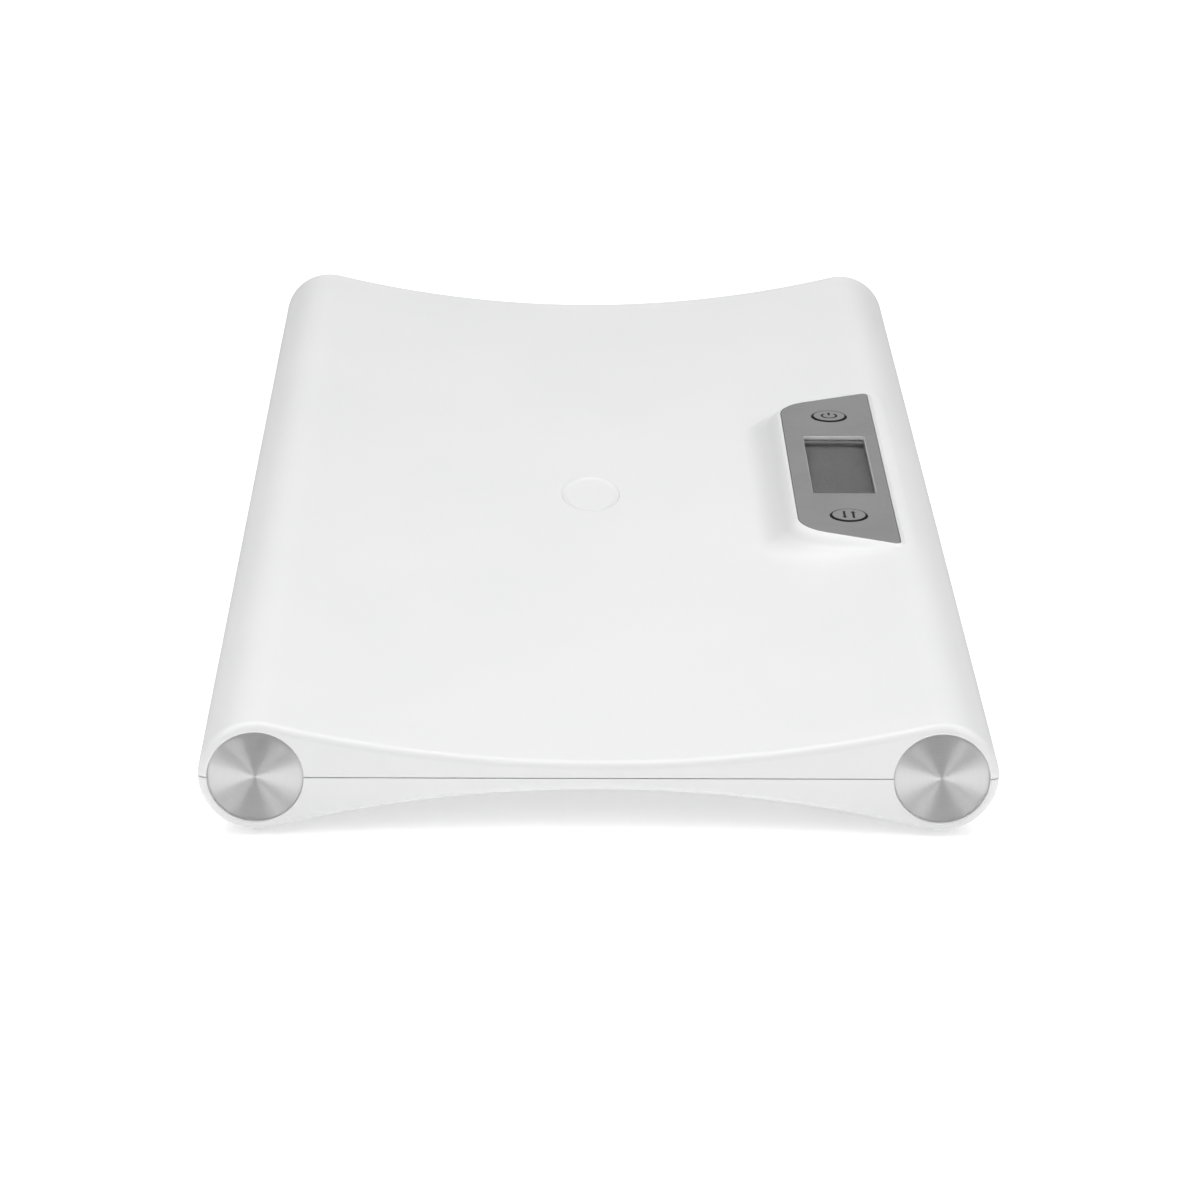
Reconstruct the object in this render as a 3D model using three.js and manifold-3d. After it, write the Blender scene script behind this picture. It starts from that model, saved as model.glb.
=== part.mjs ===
// Digital baby weighing scale: a long, shallow plastic tray whose two long edges are fat tubes.
// The body is an upper and a lower shell. It holds a load cell over each foot, a display with
// two press keys on the right-hand tube, and a battery box with a hinged door underneath.
// Millimetres, +Z up, +X towards the display, Y along the tray. The origin lies on the floor
// under the middle of the tray.

import * as THREE from 'three';
import { mergeVertices } from 'three/addons/utils/BufferGeometryUtils.js';
import Module from 'manifold-3d';

const wasm = await Module();
wasm.setup();

// Fits shared by all pieces
const fit = 0.3;
const overrun = 1;

// Fineness of round shapes, in flat steps
const quarterSteps = 9;
const hollowSteps = 16;
const circleSteps = 20;
const insideSteps = 10;
const discSteps = 36;
const doorSteps = 80;
const cornerSteps = 5;
const filletSteps = 3;
const leadSides = 6;
const leadSteps = 14;

// Body shells
const length = 600;
const width = 300;
const tubeRadius = 21.6;
const trayRise = 6.2;
const archDrop = 5.4;
const wall = 2.4;
const endWall = 5;
const endFillet = 2.4;
const partingGap = 0.4;
const lipThickness = 1.2;
const lipHeight = 2;
const lipRoot = 3;
const ribThickness = 1.6;
const ribEndGap = 3.7;
const ribCount = 5;
const ribGap = 3;

// Metal discs in the tube ends
const discRadius = 18;
const discThickness = 1.2;
const discRecess = 0.8;
const discBevel = 0.4;

// Oval badge in the middle of the tray
const badgeHalfWidth = 12.6;
const badgeHalfLength = 23.2;
const badgeThickness = 0.9;
const badgeOffset = 6;

// Feet and load cells
const footDrop = 3;
const footInset = 55;
const padRadius = 9;
const padThickness = 2;
const padSocket = 1.1;
const cupRim = 1.2;
const cupFlange = 1.9;
const footClearance = 0.8;
const footFloor = 2.5;
const stemRadius = 4;
const stemLip = 1;
const cellLength = 27;
const cellThickness = 1.6;
const cellSlot = 1.6;
const cellHeight = 11;
const seatThickness = 2.4;
const guideThickness = 1.6;
const loadRibThickness = 2;
const loadRibWidth = 18;

// Display island on the right-hand tube
const panelOuterInset = 0.2;
const panelBeyondKey = 15.7;
const panelSkew = 20;
const panelInnerCorner = 20;
const panelOuterCorner = 2;
const panelThickness = 1.2;
const panelRise = 0.9;
const islandLip = 0.3;
const islandBorder = 1.2;
const islandSlopeShare = 0.7;
const deckThickness = 2.4;

// Window and display
const windowOuterBorder = 5.9;
const windowInnerBorder = 8.5;
const windowHalfWidth = 13.6;
const windowHalfLength = 38.6;
const windowCorner = 1.5;
const lensBorder = 2.8;
const lensThickness = 1;
const frameCollar = 1;
const framePlate = 1;
const frameWall = 1.4;
const glassBorder = 3;
const glassThickness = 2.4;
const stripWidth = 2;

// Keys and their switches
const keyOffset = 0.2;
const keyWindowGap = 28.7;
const keyRadius = 7.7;
const keyGap = 0.4;
const keyProud = 0.4;
const keyBevel = 0.3;
const keyFlange = 1.2;
const keyFlangeThickness = 1.2;
const keyTravel = 0.6;
const plungerRadius = 2.4;
const plungerLength = 1;
const switchSize = 6;
const switchBody = 3.4;
const switchStem = 0.9;
const switchStemRadius = 1.7;

// Circuit board
const boardBorder = 3.4;
const boardBeyondKey = 10.7;
const boardThickness = 1.6;
const boardHoleInset = 4;
const postRadius = 2.6;
const chipSize = 7;
const chipThickness = 1.2;
const chipKeyGap = 15.3;

// Screws
const caseScrew = { shank: 1.6, head: 3, headHeight: 2.2, length: 12 };
const boardScrew = { shank: 1.1, head: 2.1, headHeight: 1.4, length: 6 };
const screwTubeInset = 30.4;
const screwEndInset = 30;
const screwRibGap = 10;
const screwSeat = 6;
const bossWall = 2.6;

// Batteries, their box and its door
const batteryRadius = 5.25;
const batteryLength = 43.7;
const nubRadius = 1.9;
const nubHeight = 0.8;
const batterySpacing = 11;
const batteryClearance = 0.5;
const boxWall = 2.2;
const contactThickness = 0.5;
const contactSpring = 1.8;
const contactLip = 2.6;
const contactTail = 2;
const contactTailRise = 3;
const doorThickness = 1.8;
const doorGap = 0.5;
const doorLedge = 1.2;
const tabWidth = 8;
const tabLength = 3.5;
const tabThickness = 1.2;
const tabRoot = 1.6;
const slitWidth = 0.6;
const slitLength = 9;
const notchRadius = 5;
const notchDepth = 1.2;

// Internal wiring
const leadRadius = 0.9;
const leadRibGap = 30;
const leadEntryInset = 8;
const batteryLeadRadius = 0.7;

// Heights and places worked out from the sizes
const halfLength = length / 2;
const tubeX = width / 2 - tubeRadius;
const partingZ = footDrop + tubeRadius;
const crestZ = partingZ + tubeRadius;
const innerTube = tubeRadius - wall;
const footY = halfLength - footInset;
const ribPitch = length / (ribCount + 1);

const panelOuterX = tubeX - panelOuterInset;
const windowX = panelOuterX - windowOuterBorder - windowHalfWidth;
const panelInnerX = windowX - windowHalfWidth - windowInnerBorder;
const keyX = windowX - keyOffset;
const keyY = windowHalfLength + keyWindowGap;
const panelInnerHalf = keyY + panelBeyondKey;
const panelOuterHalf = panelInnerHalf + panelSkew;
const boardHalfWidth = windowHalfWidth + boardBorder;
const boardHalfLength = keyY + boardBeyondKey;
const boardHoleX = boardHalfWidth - boardHoleInset;
const boardHoleY = boardHalfLength - boardHoleInset;
const chipY = keyY - chipKeyGap;
const ribReach = windowX - boardHalfWidth - ribEndGap;
const screwX = tubeX - screwTubeInset;
const screwMiddleY = ribPitch + screwRibGap;
const leadCrossingY = ribPitch + leadRibGap;
const leadEntryY = boardHalfLength - leadEntryInset;

const panelTop = crestZ + panelRise;
const panelBottom = panelTop - panelThickness;
const islandTop = panelTop + islandLip;
const deckTop = panelBottom - fit;
const deckUnder = deckTop - deckThickness;
const lensBottom = deckTop - lensThickness;
const rebateFloor = lensBottom - fit;
const frameTop = deckUnder - fit;
const glassTop = frameTop - framePlate - fit;
const glassBottom = glassTop - glassThickness;
const keyTop = panelTop + keyProud;
const flangeTop = deckUnder - fit;
const plungerEnd = flangeTop - keyFlangeThickness - plungerLength;
const switchTop = plungerEnd - keyTravel - fit;
const boardTop = switchTop - switchBody - switchStem;
const boardBottom = boardTop - boardThickness;
const glassHalfWidth = windowHalfWidth + glassBorder;
const glassHalfLength = windowHalfLength + glassBorder;

const batteryDrop = Math.sqrt(
  (tubeRadius - doorThickness - batteryClearance - batteryRadius) ** 2 - (batterySpacing / 2) ** 2);
const batteryZ = partingZ - batteryDrop;
const boxHalfWidth = batterySpacing / 2 + batteryRadius + fit;
const contactDepth = contactThickness + contactSpring;
const cellsLength = 2 * (batteryLength + nubHeight) + fit;
const boxHalfLength = cellsLength / 2 + contactDepth + 2 * fit;
const boxCeiling = batteryZ + batteryRadius + fit;
const doorHalfWidth = boxHalfWidth + doorLedge;
const doorHalfLength = boxHalfLength + doorLedge;
const tabBottom = partingZ - Math.sqrt(innerTube ** 2 - (tabWidth / 2) ** 2) + fit;

// Materials

const material = (color, roughness, metalness = 0) => () =>
  new THREE.MeshStandardMaterial({ color, roughness, metalness });
const whitePlastic = material(0xeceeee, 0.22);
const spunMetal = material(0xb9bbbc, 0.32, 1);
const silverPaint = material(0x8f9294, 0.45, 0.3);
const clearPlastic = () =>
  new THREE.MeshStandardMaterial({ color: 0xc9ced0, roughness: 0.05, transparent: true, opacity: 0.35 });
const displayGlass = material(0x6a6f6c, 0.2);
const blackPlastic = material(0x1c1d1e, 0.5);
const greyRubber = material(0x55585a, 0.85);
const carbonRubber = material(0x2b2b2c, 0.9);
const greenBoard = material(0x1f5b3a, 0.55);
const steel = material(0xa8aaac, 0.35, 1);
const springBronze = material(0xc09a58, 0.35, 1);
const cellWrap = material(0x3c5f8f, 0.4);
const leadJacket = material(0xd8d8d4, 0.6);
const redJacket = material(0xa3241e, 0.6);
const blackJacket = material(0x1d1d1f, 0.6);

// Solids and plain shapes

function toSolid(geometry) {
  const bare = geometry.index ? geometry.toNonIndexed() : geometry.clone();
  bare.deleteAttribute('normal');
  bare.deleteAttribute('uv');
  const merged = mergeVertices(bare);
  return new wasm.Manifold(new wasm.Mesh({
    numProp: 3,
    vertProperties: new Float32Array(merged.attributes.position.array),
    triVerts: new Uint32Array(merged.index.array),
  }));
}

function toGeometry(solid) {
  const mesh = solid.getMesh();
  const geometry = new THREE.BufferGeometry();
  geometry.setAttribute('position', new THREE.BufferAttribute(mesh.vertProperties, 3));
  geometry.setIndex(new THREE.BufferAttribute(mesh.triVerts, 1));
  geometry.computeVertexNormals();
  return geometry;
}

const join = (...solids) => solids.reduce((sum, solid) => sum.add(solid));
const cut = (solid, ...tools) => tools.reduce((rest, tool) => rest.subtract(tool), solid);
const common = (a, b) => a.intersect(b);

const place = (geometry, x, y, z) => geometry.translate(x, y, z);

function block(x0, x1, y0, y1, z0, z1) {
  const box = new THREE.BoxGeometry(x1 - x0, y1 - y0, z1 - z0);
  return toSolid(place(box, (x0 + x1) / 2, (y0 + y1) / 2, (z0 + z1) / 2));
}

function rodGeometry(radius, z0, z1, steps = circleSteps) {
  const rod = new THREE.CylinderGeometry(radius, radius, z1 - z0, steps);
  return rod.rotateX(Math.PI / 2).translate(0, 0, (z0 + z1) / 2);
}

const rod = (radius, x, y, z0, z1, steps) => toSolid(place(rodGeometry(radius, z0, z1, steps), x, y, 0));

function rodAlongY(radius, x, z, y0, y1, steps = circleSteps) {
  const cylinder = new THREE.CylinderGeometry(radius, radius, y1 - y0, steps);
  return toSolid(place(cylinder, x, (y0 + y1) / 2, z));
}

// A turned piece about +Z. The profile runs from the axis round to the axis as [radius, z] pairs.
function turned(profile, steps = circleSteps) {
  const points = profile.map(([radius, z]) => new THREE.Vector2(radius, z));
  return new THREE.LatheGeometry(points, steps).rotateX(Math.PI / 2);
}

// An upright prism over an outline in the XY plane
function prism(outline, z0, z1, holes = []) {
  const shape = new THREE.Shape(outline);
  shape.holes = holes.map((hole) => new THREE.Path(hole));
  return new THREE.ExtrudeGeometry(shape, { depth: z1 - z0, bevelEnabled: false }).translate(0, 0, z0);
}

// A prism along Y over an outline given in X and Z
function prismAlongY(outline, y0, y1) {
  const options = { depth: y1 - y0, bevelEnabled: false };
  const solid = new THREE.ExtrudeGeometry(new THREE.Shape(outline), options);
  return solid.rotateX(Math.PI / 2).translate(0, y1, 0);
}

// A prism along X over an outline given in Y and Z
function prismAlongX(outline, x0, x1) {
  const options = { depth: x1 - x0, bevelEnabled: false };
  const solid = new THREE.ExtrudeGeometry(new THREE.Shape(outline), options);
  return solid.rotateX(Math.PI / 2).rotateZ(Math.PI / 2).translate(x0, 0, 0);
}

// A solid through rings of equal point counts, each ring a closed loop, capped at both ends
function loft(rings, capOutlines) {
  const count = rings[0].length;
  const positions = rings.flat().flatMap((point) => [point.x, point.y, point.z]);
  const faces = [];
  for (let ring = 0; ring + 1 < rings.length; ring += 1) {
    for (let i = 0; i < count; i += 1) {
      const j = (i + 1) % count;
      const a = ring * count + i;
      const b = ring * count + j;
      faces.push(a, b, b + count, a, b + count, a + count);
    }
  }
  const last = (rings.length - 1) * count;
  for (const [a, b, c] of THREE.ShapeUtils.triangulateShape(capOutlines[0], [])) faces.push(a, c, b);
  for (const [a, b, c] of THREE.ShapeUtils.triangulateShape(capOutlines[1], [])) {
    faces.push(last + a, last + b, last + c);
  }
  const geometry = new THREE.BufferGeometry();
  geometry.setAttribute('position', new THREE.Float32BufferAttribute(positions, 3));
  geometry.setIndex(faces);
  return geometry;
}

// The body's cross-section, in X and Z: two tubes joined by a hollow above and an arch below.
// Each hollow is one arc that touches both tubes.

const hollowRadius = (rise) => (tubeX ** 2 + rise ** 2 - tubeRadius ** 2) / (2 * (tubeRadius - rise));
const trayArc = hollowRadius(trayRise);
const archArc = hollowRadius(archDrop);

function arcPoints(centreX, centreZ, radius, from, to, steps) {
  const points = [];
  for (let i = 0; i <= steps; i += 1) {
    const angle = from + (to - from) * i / steps;
    points.push(new THREE.Vector2(centreX + radius * Math.cos(angle), centreZ + radius * Math.sin(angle)));
  }
  return points;
}

// A tube's outer half turn in even steps, with a short stretch on to each tangent point
function tubeArc(x, radius, halfTurnFrom, from, to) {
  const halfTurn = arcPoints(x, partingZ, radius, halfTurnFrom, halfTurnFrom + Math.PI, 2 * quarterSteps);
  const [start] = arcPoints(x, partingZ, radius, from, from, 1);
  const [end] = arcPoints(x, partingZ, radius, to, to, 1);
  return [start, ...halfTurn, end];
}

function crossSection(inset) {
  const radius = tubeRadius - inset;
  const trayZ = partingZ + trayRise + trayArc;
  const archZ = partingZ - archDrop - archArc;
  const upper = Math.atan2(trayZ - partingZ, tubeX);
  const lower = Math.atan2(partingZ - archZ, tubeX);
  const right = tubeArc(tubeX, radius, -Math.PI / 2, lower - Math.PI, Math.PI - upper);
  const tray = arcPoints(0, trayZ, trayArc + inset, -upper, upper - Math.PI, hollowSteps);
  const left = tubeArc(-tubeX, radius, Math.PI / 2, upper, 2 * Math.PI - lower);
  const arch = arcPoints(0, archZ, archArc + inset, Math.PI - lower, lower, hollowSteps);
  return [...right, ...tray.slice(1, -1), ...left, ...arch.slice(1, -1)];
}

// Height of the tray's upper face at a distance from the centre line
const trayHeight = (x) => partingZ + trayRise + trayArc - Math.sqrt(trayArc ** 2 - x ** 2);

const atY = (outline, y) => outline.map((point) => new THREE.Vector3(point.x, y, point.y));

// The whole body as one solid, with its end faces' edges rounded
function bodySolid() {
  const stations = [];
  for (let i = 0; i <= filletSteps; i += 1) {
    const angle = (Math.PI / 2) * i / filletSteps;
    stations.push({
      inset: endFillet * (1 - Math.sin(angle)),
      y: halfLength - endFillet * (1 - Math.cos(angle)),
    });
  }
  const far = stations.map(({ inset, y }) => ({ inset, y }));
  const near = [...stations].reverse().map(({ inset, y }) => ({ inset, y: -y }));
  const order = [...far, ...near];
  const rings = order.map(({ inset, y }) => atY(crossSection(inset), y));
  const cap = crossSection(endFillet);
  return toSolid(loft(rings, [cap, cap]));
}

const hollowSolid = (inset, endInset) =>
  toSolid(prismAlongY(crossSection(inset), -halfLength + endInset, halfLength - endInset));

const slab = (z0, z1) => block(-width, width, -length, length, z0, z1);
const aboveParting = () => slab(partingZ + partingGap / 2, partingZ + width);
const belowParting = () => slab(partingZ - width, partingZ - partingGap / 2);

// Corners of a polygon rounded off, with the same number of points for any radius
function roundedOutline(corners) {
  const points = [];
  corners.forEach(({ x, y, radius }, i) => {
    const here = new THREE.Vector2(x, y);
    const before = corners[(i + corners.length - 1) % corners.length];
    const after = corners[(i + 1) % corners.length];
    const back = new THREE.Vector2(before.x - x, before.y - y).normalize();
    const on = new THREE.Vector2(after.x - x, after.y - y).normalize();
    const half = Math.acos(back.dot(on)) / 2;
    const start = here.clone().addScaledVector(back, radius / Math.tan(half));
    const middle = back.clone().add(on).normalize();
    const centre = here.clone().addScaledVector(middle, radius / Math.sin(half));
    const from = Math.atan2(start.y - centre.y, start.x - centre.x);
    points.push(...arcPoints(centre.x, centre.y, radius, from, from + Math.PI - 2 * half, cornerSteps));
  });
  return points;
}

const roundedBox = (x, y, halfX, halfY, radius) => roundedOutline([
  { x: x - halfX, y: y - halfY, radius },
  { x: x + halfX, y: y - halfY, radius },
  { x: x + halfX, y: y + halfY, radius },
  { x: x - halfX, y: y + halfY, radius },
]);

// The panel's outline, grown outwards by a distance: long towards the edge, short towards the tray
function panelOutline(grow) {
  const slope = (panelOuterHalf - panelInnerHalf) / (panelOuterX - panelInnerX);
  const innerX = panelInnerX - grow;
  const outerX = panelOuterX + grow;
  const half = (x) => panelInnerHalf + (x - panelInnerX) * slope + grow * Math.hypot(1, slope);
  const inner = panelInnerCorner + grow;
  const outer = Math.max(panelOuterCorner + grow, panelOuterCorner / 2);
  return roundedOutline([
    { x: innerX, y: -half(innerX), radius: inner },
    { x: outerX, y: -half(outerX), radius: outer },
    { x: outerX, y: half(outerX), radius: outer },
    { x: innerX, y: half(innerX), radius: inner },
  ]);
}

const atZ = (outline, z) => outline.map((point) => new THREE.Vector3(point.x, point.y, z));

// A tapered block over the panel's outline, wider towards its foot
function taperedIsland(top, topGrow, foot) {
  const footGrow = topGrow + (top - foot) * islandSlopeShare;
  const outlines = [panelOutline(footGrow), panelOutline(topGrow)];
  return toSolid(loft([atZ(outlines[0], foot), atZ(outlines[1], top)], outlines));
}

// Places of what repeats

const corners = [
  { name: 'front_left', x: -1, y: -1 },
  { name: 'front_right', x: 1, y: -1 },
  { name: 'rear_left', x: -1, y: 1 },
  { name: 'rear_right', x: 1, y: 1 },
];
const sides = [{ name: 'left', x: -1 }, { name: 'right', x: 1 }];
const caseScrewPlaces = sides.flatMap(({ name, x }) =>
  [-halfLength + screwEndInset, -screwMiddleY, screwMiddleY, halfLength - screwEndInset]
    .map((y, i) => ({ name: `${name}_${i + 1}`, x: x * screwX, y })));
const boardScrewPlaces = corners.map(({ name, x, y }) => ({
  name, x: windowX + x * boardHoleX, y: y * boardHoleY,
}));
const keys = [{ name: 'power', y: keyY }, { name: 'unit', y: -keyY }];
const ribPlaces = Array.from({ length: ribCount }, (_, i) => -halfLength + ribPitch * (i + 1));

// Shells

const body = bodySolid();
const hollow = hollowSolid(wall, endWall);

function discPockets() {
  const depth = discRecess + discThickness + fit;
  return sides.flatMap(({ x }) => [
    rodAlongY(discRadius + fit, x * tubeX, partingZ, -halfLength - overrun, -halfLength + depth, discSteps),
    rodAlongY(discRadius + fit, x * tubeX, partingZ, halfLength - depth, halfLength + overrun, discSteps),
  ]);
}

function islandHollow() {
  const wallAcross = wall * Math.hypot(1, islandSlopeShare);
  const grow = islandBorder + (islandTop - deckUnder) * islandSlopeShare - wallAcross;
  return taperedIsland(deckUnder, grow, trayHeight(panelInnerX) - 2 * wall);
}

function deckCuts() {
  const opening = windowHalfWidth + frameCollar + fit;
  const openingLength = windowHalfLength + frameCollar + fit;
  const lens = windowHalfWidth + lensBorder + fit;
  const lensLength = windowHalfLength + lensBorder + fit;
  return [
    toSolid(prism(panelOutline(0), deckTop, islandTop + overrun)),
    toSolid(prism(roundedBox(windowX, 0, opening, openingLength, windowCorner + frameCollar),
      deckUnder - overrun, deckTop + overrun)),
    toSolid(prism(roundedBox(windowX, 0, lens, lensLength, windowCorner), rebateFloor, deckTop + overrun)),
    ...keys.map(({ y }) => rod(keyRadius + keyGap, keyX, y, deckUnder - overrun, deckTop + overrun)),
  ];
}

const badgeRecess = () => {
  const recess = rodGeometry(1, trayHeight(0) - badgeThickness - fit, trayHeight(0) + overrun, discSteps);
  return toSolid(recess.scale(badgeHalfWidth + fit, badgeHalfLength + fit, 1).translate(0, badgeOffset, 0));
};

const cellHalfWidth = Math.sqrt(innerTube ** 2 - (partingZ - cellHeight) ** 2) - 2 * fit;

function loadRibs() {
  const reach = cellLength / 2 - loadRibThickness;
  return corners.flatMap(({ x, y }) => [-1, 1].map((end) => {
    const centre = y * footY + end * reach;
    return block(
      x * tubeX - loadRibWidth / 2, x * tubeX + loadRibWidth / 2,
      centre - loadRibThickness / 2, centre + loadRibThickness / 2,
      cellHeight + cellThickness + fit, crestZ);
  }));
}

function crossRibs(z0, z1) {
  return ribPlaces.map((y) =>
    block(-ribReach, ribReach, y - ribThickness / 2, y + ribThickness / 2, z0, z1));
}

function topShell() {
  const island = taperedIsland(islandTop, islandBorder, trayHeight(panelInnerX) - 2 * wall);
  const full = join(body, island);
  const skin = cut(common(full, aboveParting()), hollow, islandHollow());
  const bosses = caseScrewPlaces.map(({ x, y }) =>
    rod(caseScrew.shank + bossWall, x, y, partingZ + partingGap / 2, crestZ, insideSteps));
  const posts = boardScrewPlaces.map(({ x, y }) =>
    rod(postRadius, x, y, boardTop + fit, deckUnder + deckThickness / 2, insideSteps));
  const inside = join(...bosses, ...loadRibs(), ...crossRibs(partingZ + ribGap / 2, crestZ));
  const pilots = caseScrewPlaces.map(({ x, y }) => rod(caseScrew.shank + fit, x, y,
    partingZ, partingZ - screwSeat + caseScrew.length + overrun, insideSteps));
  const postPilots = boardScrewPlaces.map(({ x, y }) => rod(boardScrew.shank + fit, x, y,
    boardTop, boardBottom - fit + boardScrew.length + overrun, insideSteps));
  const solid = join(skin, common(inside, body), ...posts);
  return cut(solid, ...deckCuts(), badgeRecess(), ...discPockets(), ...pilots, ...postPilots);
}

// Where a foot's cup and stem pass the lower shell, and the seat that holds its load cell
const cupRadius = padRadius + fit + cupRim;
const cupBottom = padThickness - padSocket;
const cupTop = cupBottom + padSocket + fit + cupFlange;
const footCeiling = cupTop + footClearance;
const footFloorTop = footCeiling + footFloor;
const seatRadius = cellHalfWidth - fit;

function footSeat(x, y) {
  const guideHalf = seatRadius / 2;
  const guides = [-1, 1].map((end) => {
    const inner = end * (cellLength / 2 + fit);
    const outer = end * (cellLength / 2 + fit + guideThickness);
    return block(x - guideHalf, x + guideHalf,
      y + Math.min(inner, outer), y + Math.max(inner, outer), footDrop, cellHeight + cellThickness);
  });
  return join(rod(seatRadius, x, y, footDrop, cellHeight - fit), ...guides);
}

const footCuts = (x, y) => [
  rod(cupRadius + footClearance, x, y, -overrun, footCeiling),
  rod(stemRadius + 2 * fit, x, y, 0, footFloorTop + overrun),
  rod(seatRadius - seatThickness, x, y, footFloorTop, cellHeight + overrun),
];

// The space that the door fills: the outer skin of the tube's underside, down to the floor
function doorSpace() {
  const across = doorHalfWidth + doorGap;
  const along = doorHalfLength + doorGap;
  const column = block(tubeX - across, tubeX + across, -along, along, -overrun, partingZ);
  return cut(column, rodAlongY(tubeRadius - doorThickness - fit, tubeX, partingZ, -length, length,
    doorSteps));
}

function batteryBox() {
  const outerX = boxHalfWidth + boxWall;
  const outerY = boxHalfLength + boxWall;
  return block(tubeX - outerX, tubeX + outerX, -outerY, outerY, footDrop, boxCeiling + boxWall);
}

// The door's tab swings about the door's lower edge, so its notch is as high as that swing
const tabSwing = Math.hypot(tabLength, tabBottom + tabThickness - footDrop);

function batteryBoxCuts() {
  const pivotY = -doorHalfLength;
  const tailHalf = contactTail + fit;
  const tails = [-1, 1].map((side) => {
    const x = tubeX + side * batterySpacing / 2;
    return block(x - tailHalf, x + tailHalf, boxHalfLength - contactThickness - 2 * fit, boxHalfLength,
      boxCeiling - overrun, boxCeiling + boxWall + overrun);
  });
  const interior = block(tubeX - boxHalfWidth, tubeX + boxHalfWidth, -boxHalfLength, boxHalfLength,
    0, boxCeiling);
  const notchHalf = tabWidth / 2 + fit;
  const notchTop = footDrop + tabSwing + fit;
  const tabGate = block(tubeX - notchHalf, tubeX + notchHalf, pivotY - doorGap, -boxHalfLength + overrun,
    0, notchTop);
  const tabPocket = block(tubeX - notchHalf, tubeX + notchHalf, -boxHalfLength - boxWall - overrun,
    -boxHalfLength + overrun, tabBottom - fit, notchTop);
  const thumbNotch = rod(notchRadius, tubeX, doorHalfLength + doorGap, 0, footDrop + notchDepth);
  return [interior, doorSpace(), tabGate, tabPocket, thumbNotch, ...tails];
}

function bottomShell() {
  const skin = cut(common(body, belowParting()), hollow);
  const lipFace = wall + fit;
  const lipInner = hollowSolid(lipFace + lipThickness, endWall + fit + lipThickness);
  const lip = common(cut(hollowSolid(lipFace, endWall + fit), lipInner),
    slab(partingZ - lipRoot, partingZ + lipHeight));
  const root = common(cut(common(body, belowParting()), lipInner),
    slab(partingZ - lipRoot, partingZ));
  const bosses = caseScrewPlaces.map(({ x, y }) =>
    rod(caseScrew.head + fit + bossWall, x, y, 0, partingZ - partingGap / 2, insideSteps));
  const ribs = crossRibs(0, partingZ - ribGap / 2);
  const feet = corners.map(({ x, y }) => ({ x: x * tubeX, y: y * footY }));
  const inside = common(join(batteryBox(), ...bosses, ...ribs,
    ...feet.map(({ x, y }) => footSeat(x, y))), body);
  const screwHoles = caseScrewPlaces.flatMap(({ x, y }) => [
    rod(caseScrew.shank + fit, x, y, 0, partingZ, insideSteps),
    rod(caseScrew.head + fit, x, y, 0, partingZ - screwSeat, insideSteps),
  ]);
  const solid = join(skin, root, inside);
  const holed = cut(solid, ...discPockets(), ...batteryBoxCuts(), ...screwHoles,
    ...feet.flatMap(({ x, y }) => footCuts(x, y)));
  return join(holed, lip);
}

// Trim

function endDisc() {
  return turned([
    [0, 0], [discRadius, 0], [discRadius, discThickness - discBevel],
    [discRadius - discBevel, discThickness], [0, discThickness],
  ], discSteps);
}

function badge() {
  const plate = rodGeometry(1, trayHeight(0) - badgeThickness, trayHeight(0), discSteps);
  return plate.scale(badgeHalfWidth, badgeHalfLength, 1).translate(0, badgeOffset, 0);
}

// Display

const circleOutline = (x, y, radius, steps) => arcPoints(x, y, radius, 0, 2 * Math.PI, steps).slice(1);

function displayPanel() {
  const windowHole = roundedBox(windowX, 0, windowHalfWidth, windowHalfLength, windowCorner);
  const keyHoles = keys.map(({ y }) => circleOutline(keyX, y, keyRadius + keyGap, circleSteps));
  return prism(panelOutline(-fit), panelBottom, panelTop, [windowHole, ...keyHoles]);
}

const displayLens = () => prism(roundedBox(windowX, 0,
  windowHalfWidth + lensBorder, windowHalfLength + lensBorder, windowCorner), lensBottom, deckTop);

const displayGlassPlate = () => prism(roundedBox(windowX, 0,
  glassHalfWidth, glassHalfLength, windowCorner / 2), glassBottom, glassTop);

function displayFrame() {
  const ring = (half, halfAlong, grow, radius) =>
    roundedBox(windowX, 0, half + grow, halfAlong + grow, radius);
  const collar = prism(ring(windowHalfWidth, windowHalfLength, frameCollar, windowCorner + frameCollar),
    frameTop - framePlate, rebateFloor);
  const shellBox = prism(ring(glassHalfWidth, glassHalfLength, fit + frameWall, windowCorner),
    boardTop + fit, frameTop);
  const pocket = prism(ring(glassHalfWidth, glassHalfLength, fit, windowCorner / 2),
    boardTop - overrun, frameTop - framePlate);
  const view = prism(ring(windowHalfWidth, windowHalfLength, 0, windowCorner),
    boardTop, rebateFloor + overrun);
  return cut(join(toSolid(collar), toSolid(shellBox)), toSolid(pocket), toSolid(view));
}

function contactStrip(side) {
  const outer = windowX + side * (glassHalfWidth - fit);
  const inner = outer - side * stripWidth;
  return block(Math.min(outer, inner), Math.max(outer, inner),
    -windowHalfLength, windowHalfLength, boardTop + fit, glassBottom - fit);
}

function key() {
  const top = keyTop;
  const flangeBottom = flangeTop - keyFlangeThickness;
  const flangeRadius = keyRadius + keyGap + keyFlange;
  return turned([
    [0, plungerEnd], [plungerRadius, plungerEnd], [plungerRadius, flangeBottom],
    [flangeRadius, flangeBottom], [flangeRadius, flangeTop], [keyRadius, flangeTop],
    [keyRadius, top - keyBevel], [keyRadius - keyBevel, top], [0, top],
  ]);
}

function keySwitch() {
  const half = switchSize / 2;
  const bodyTop = boardTop + switchBody;
  const housing = block(-half, half, -half, half, boardTop + fit, bodyTop);
  return join(housing, rod(switchStemRadius, 0, 0, bodyTop - overrun, switchTop, insideSteps));
}

// Circuit board

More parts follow.
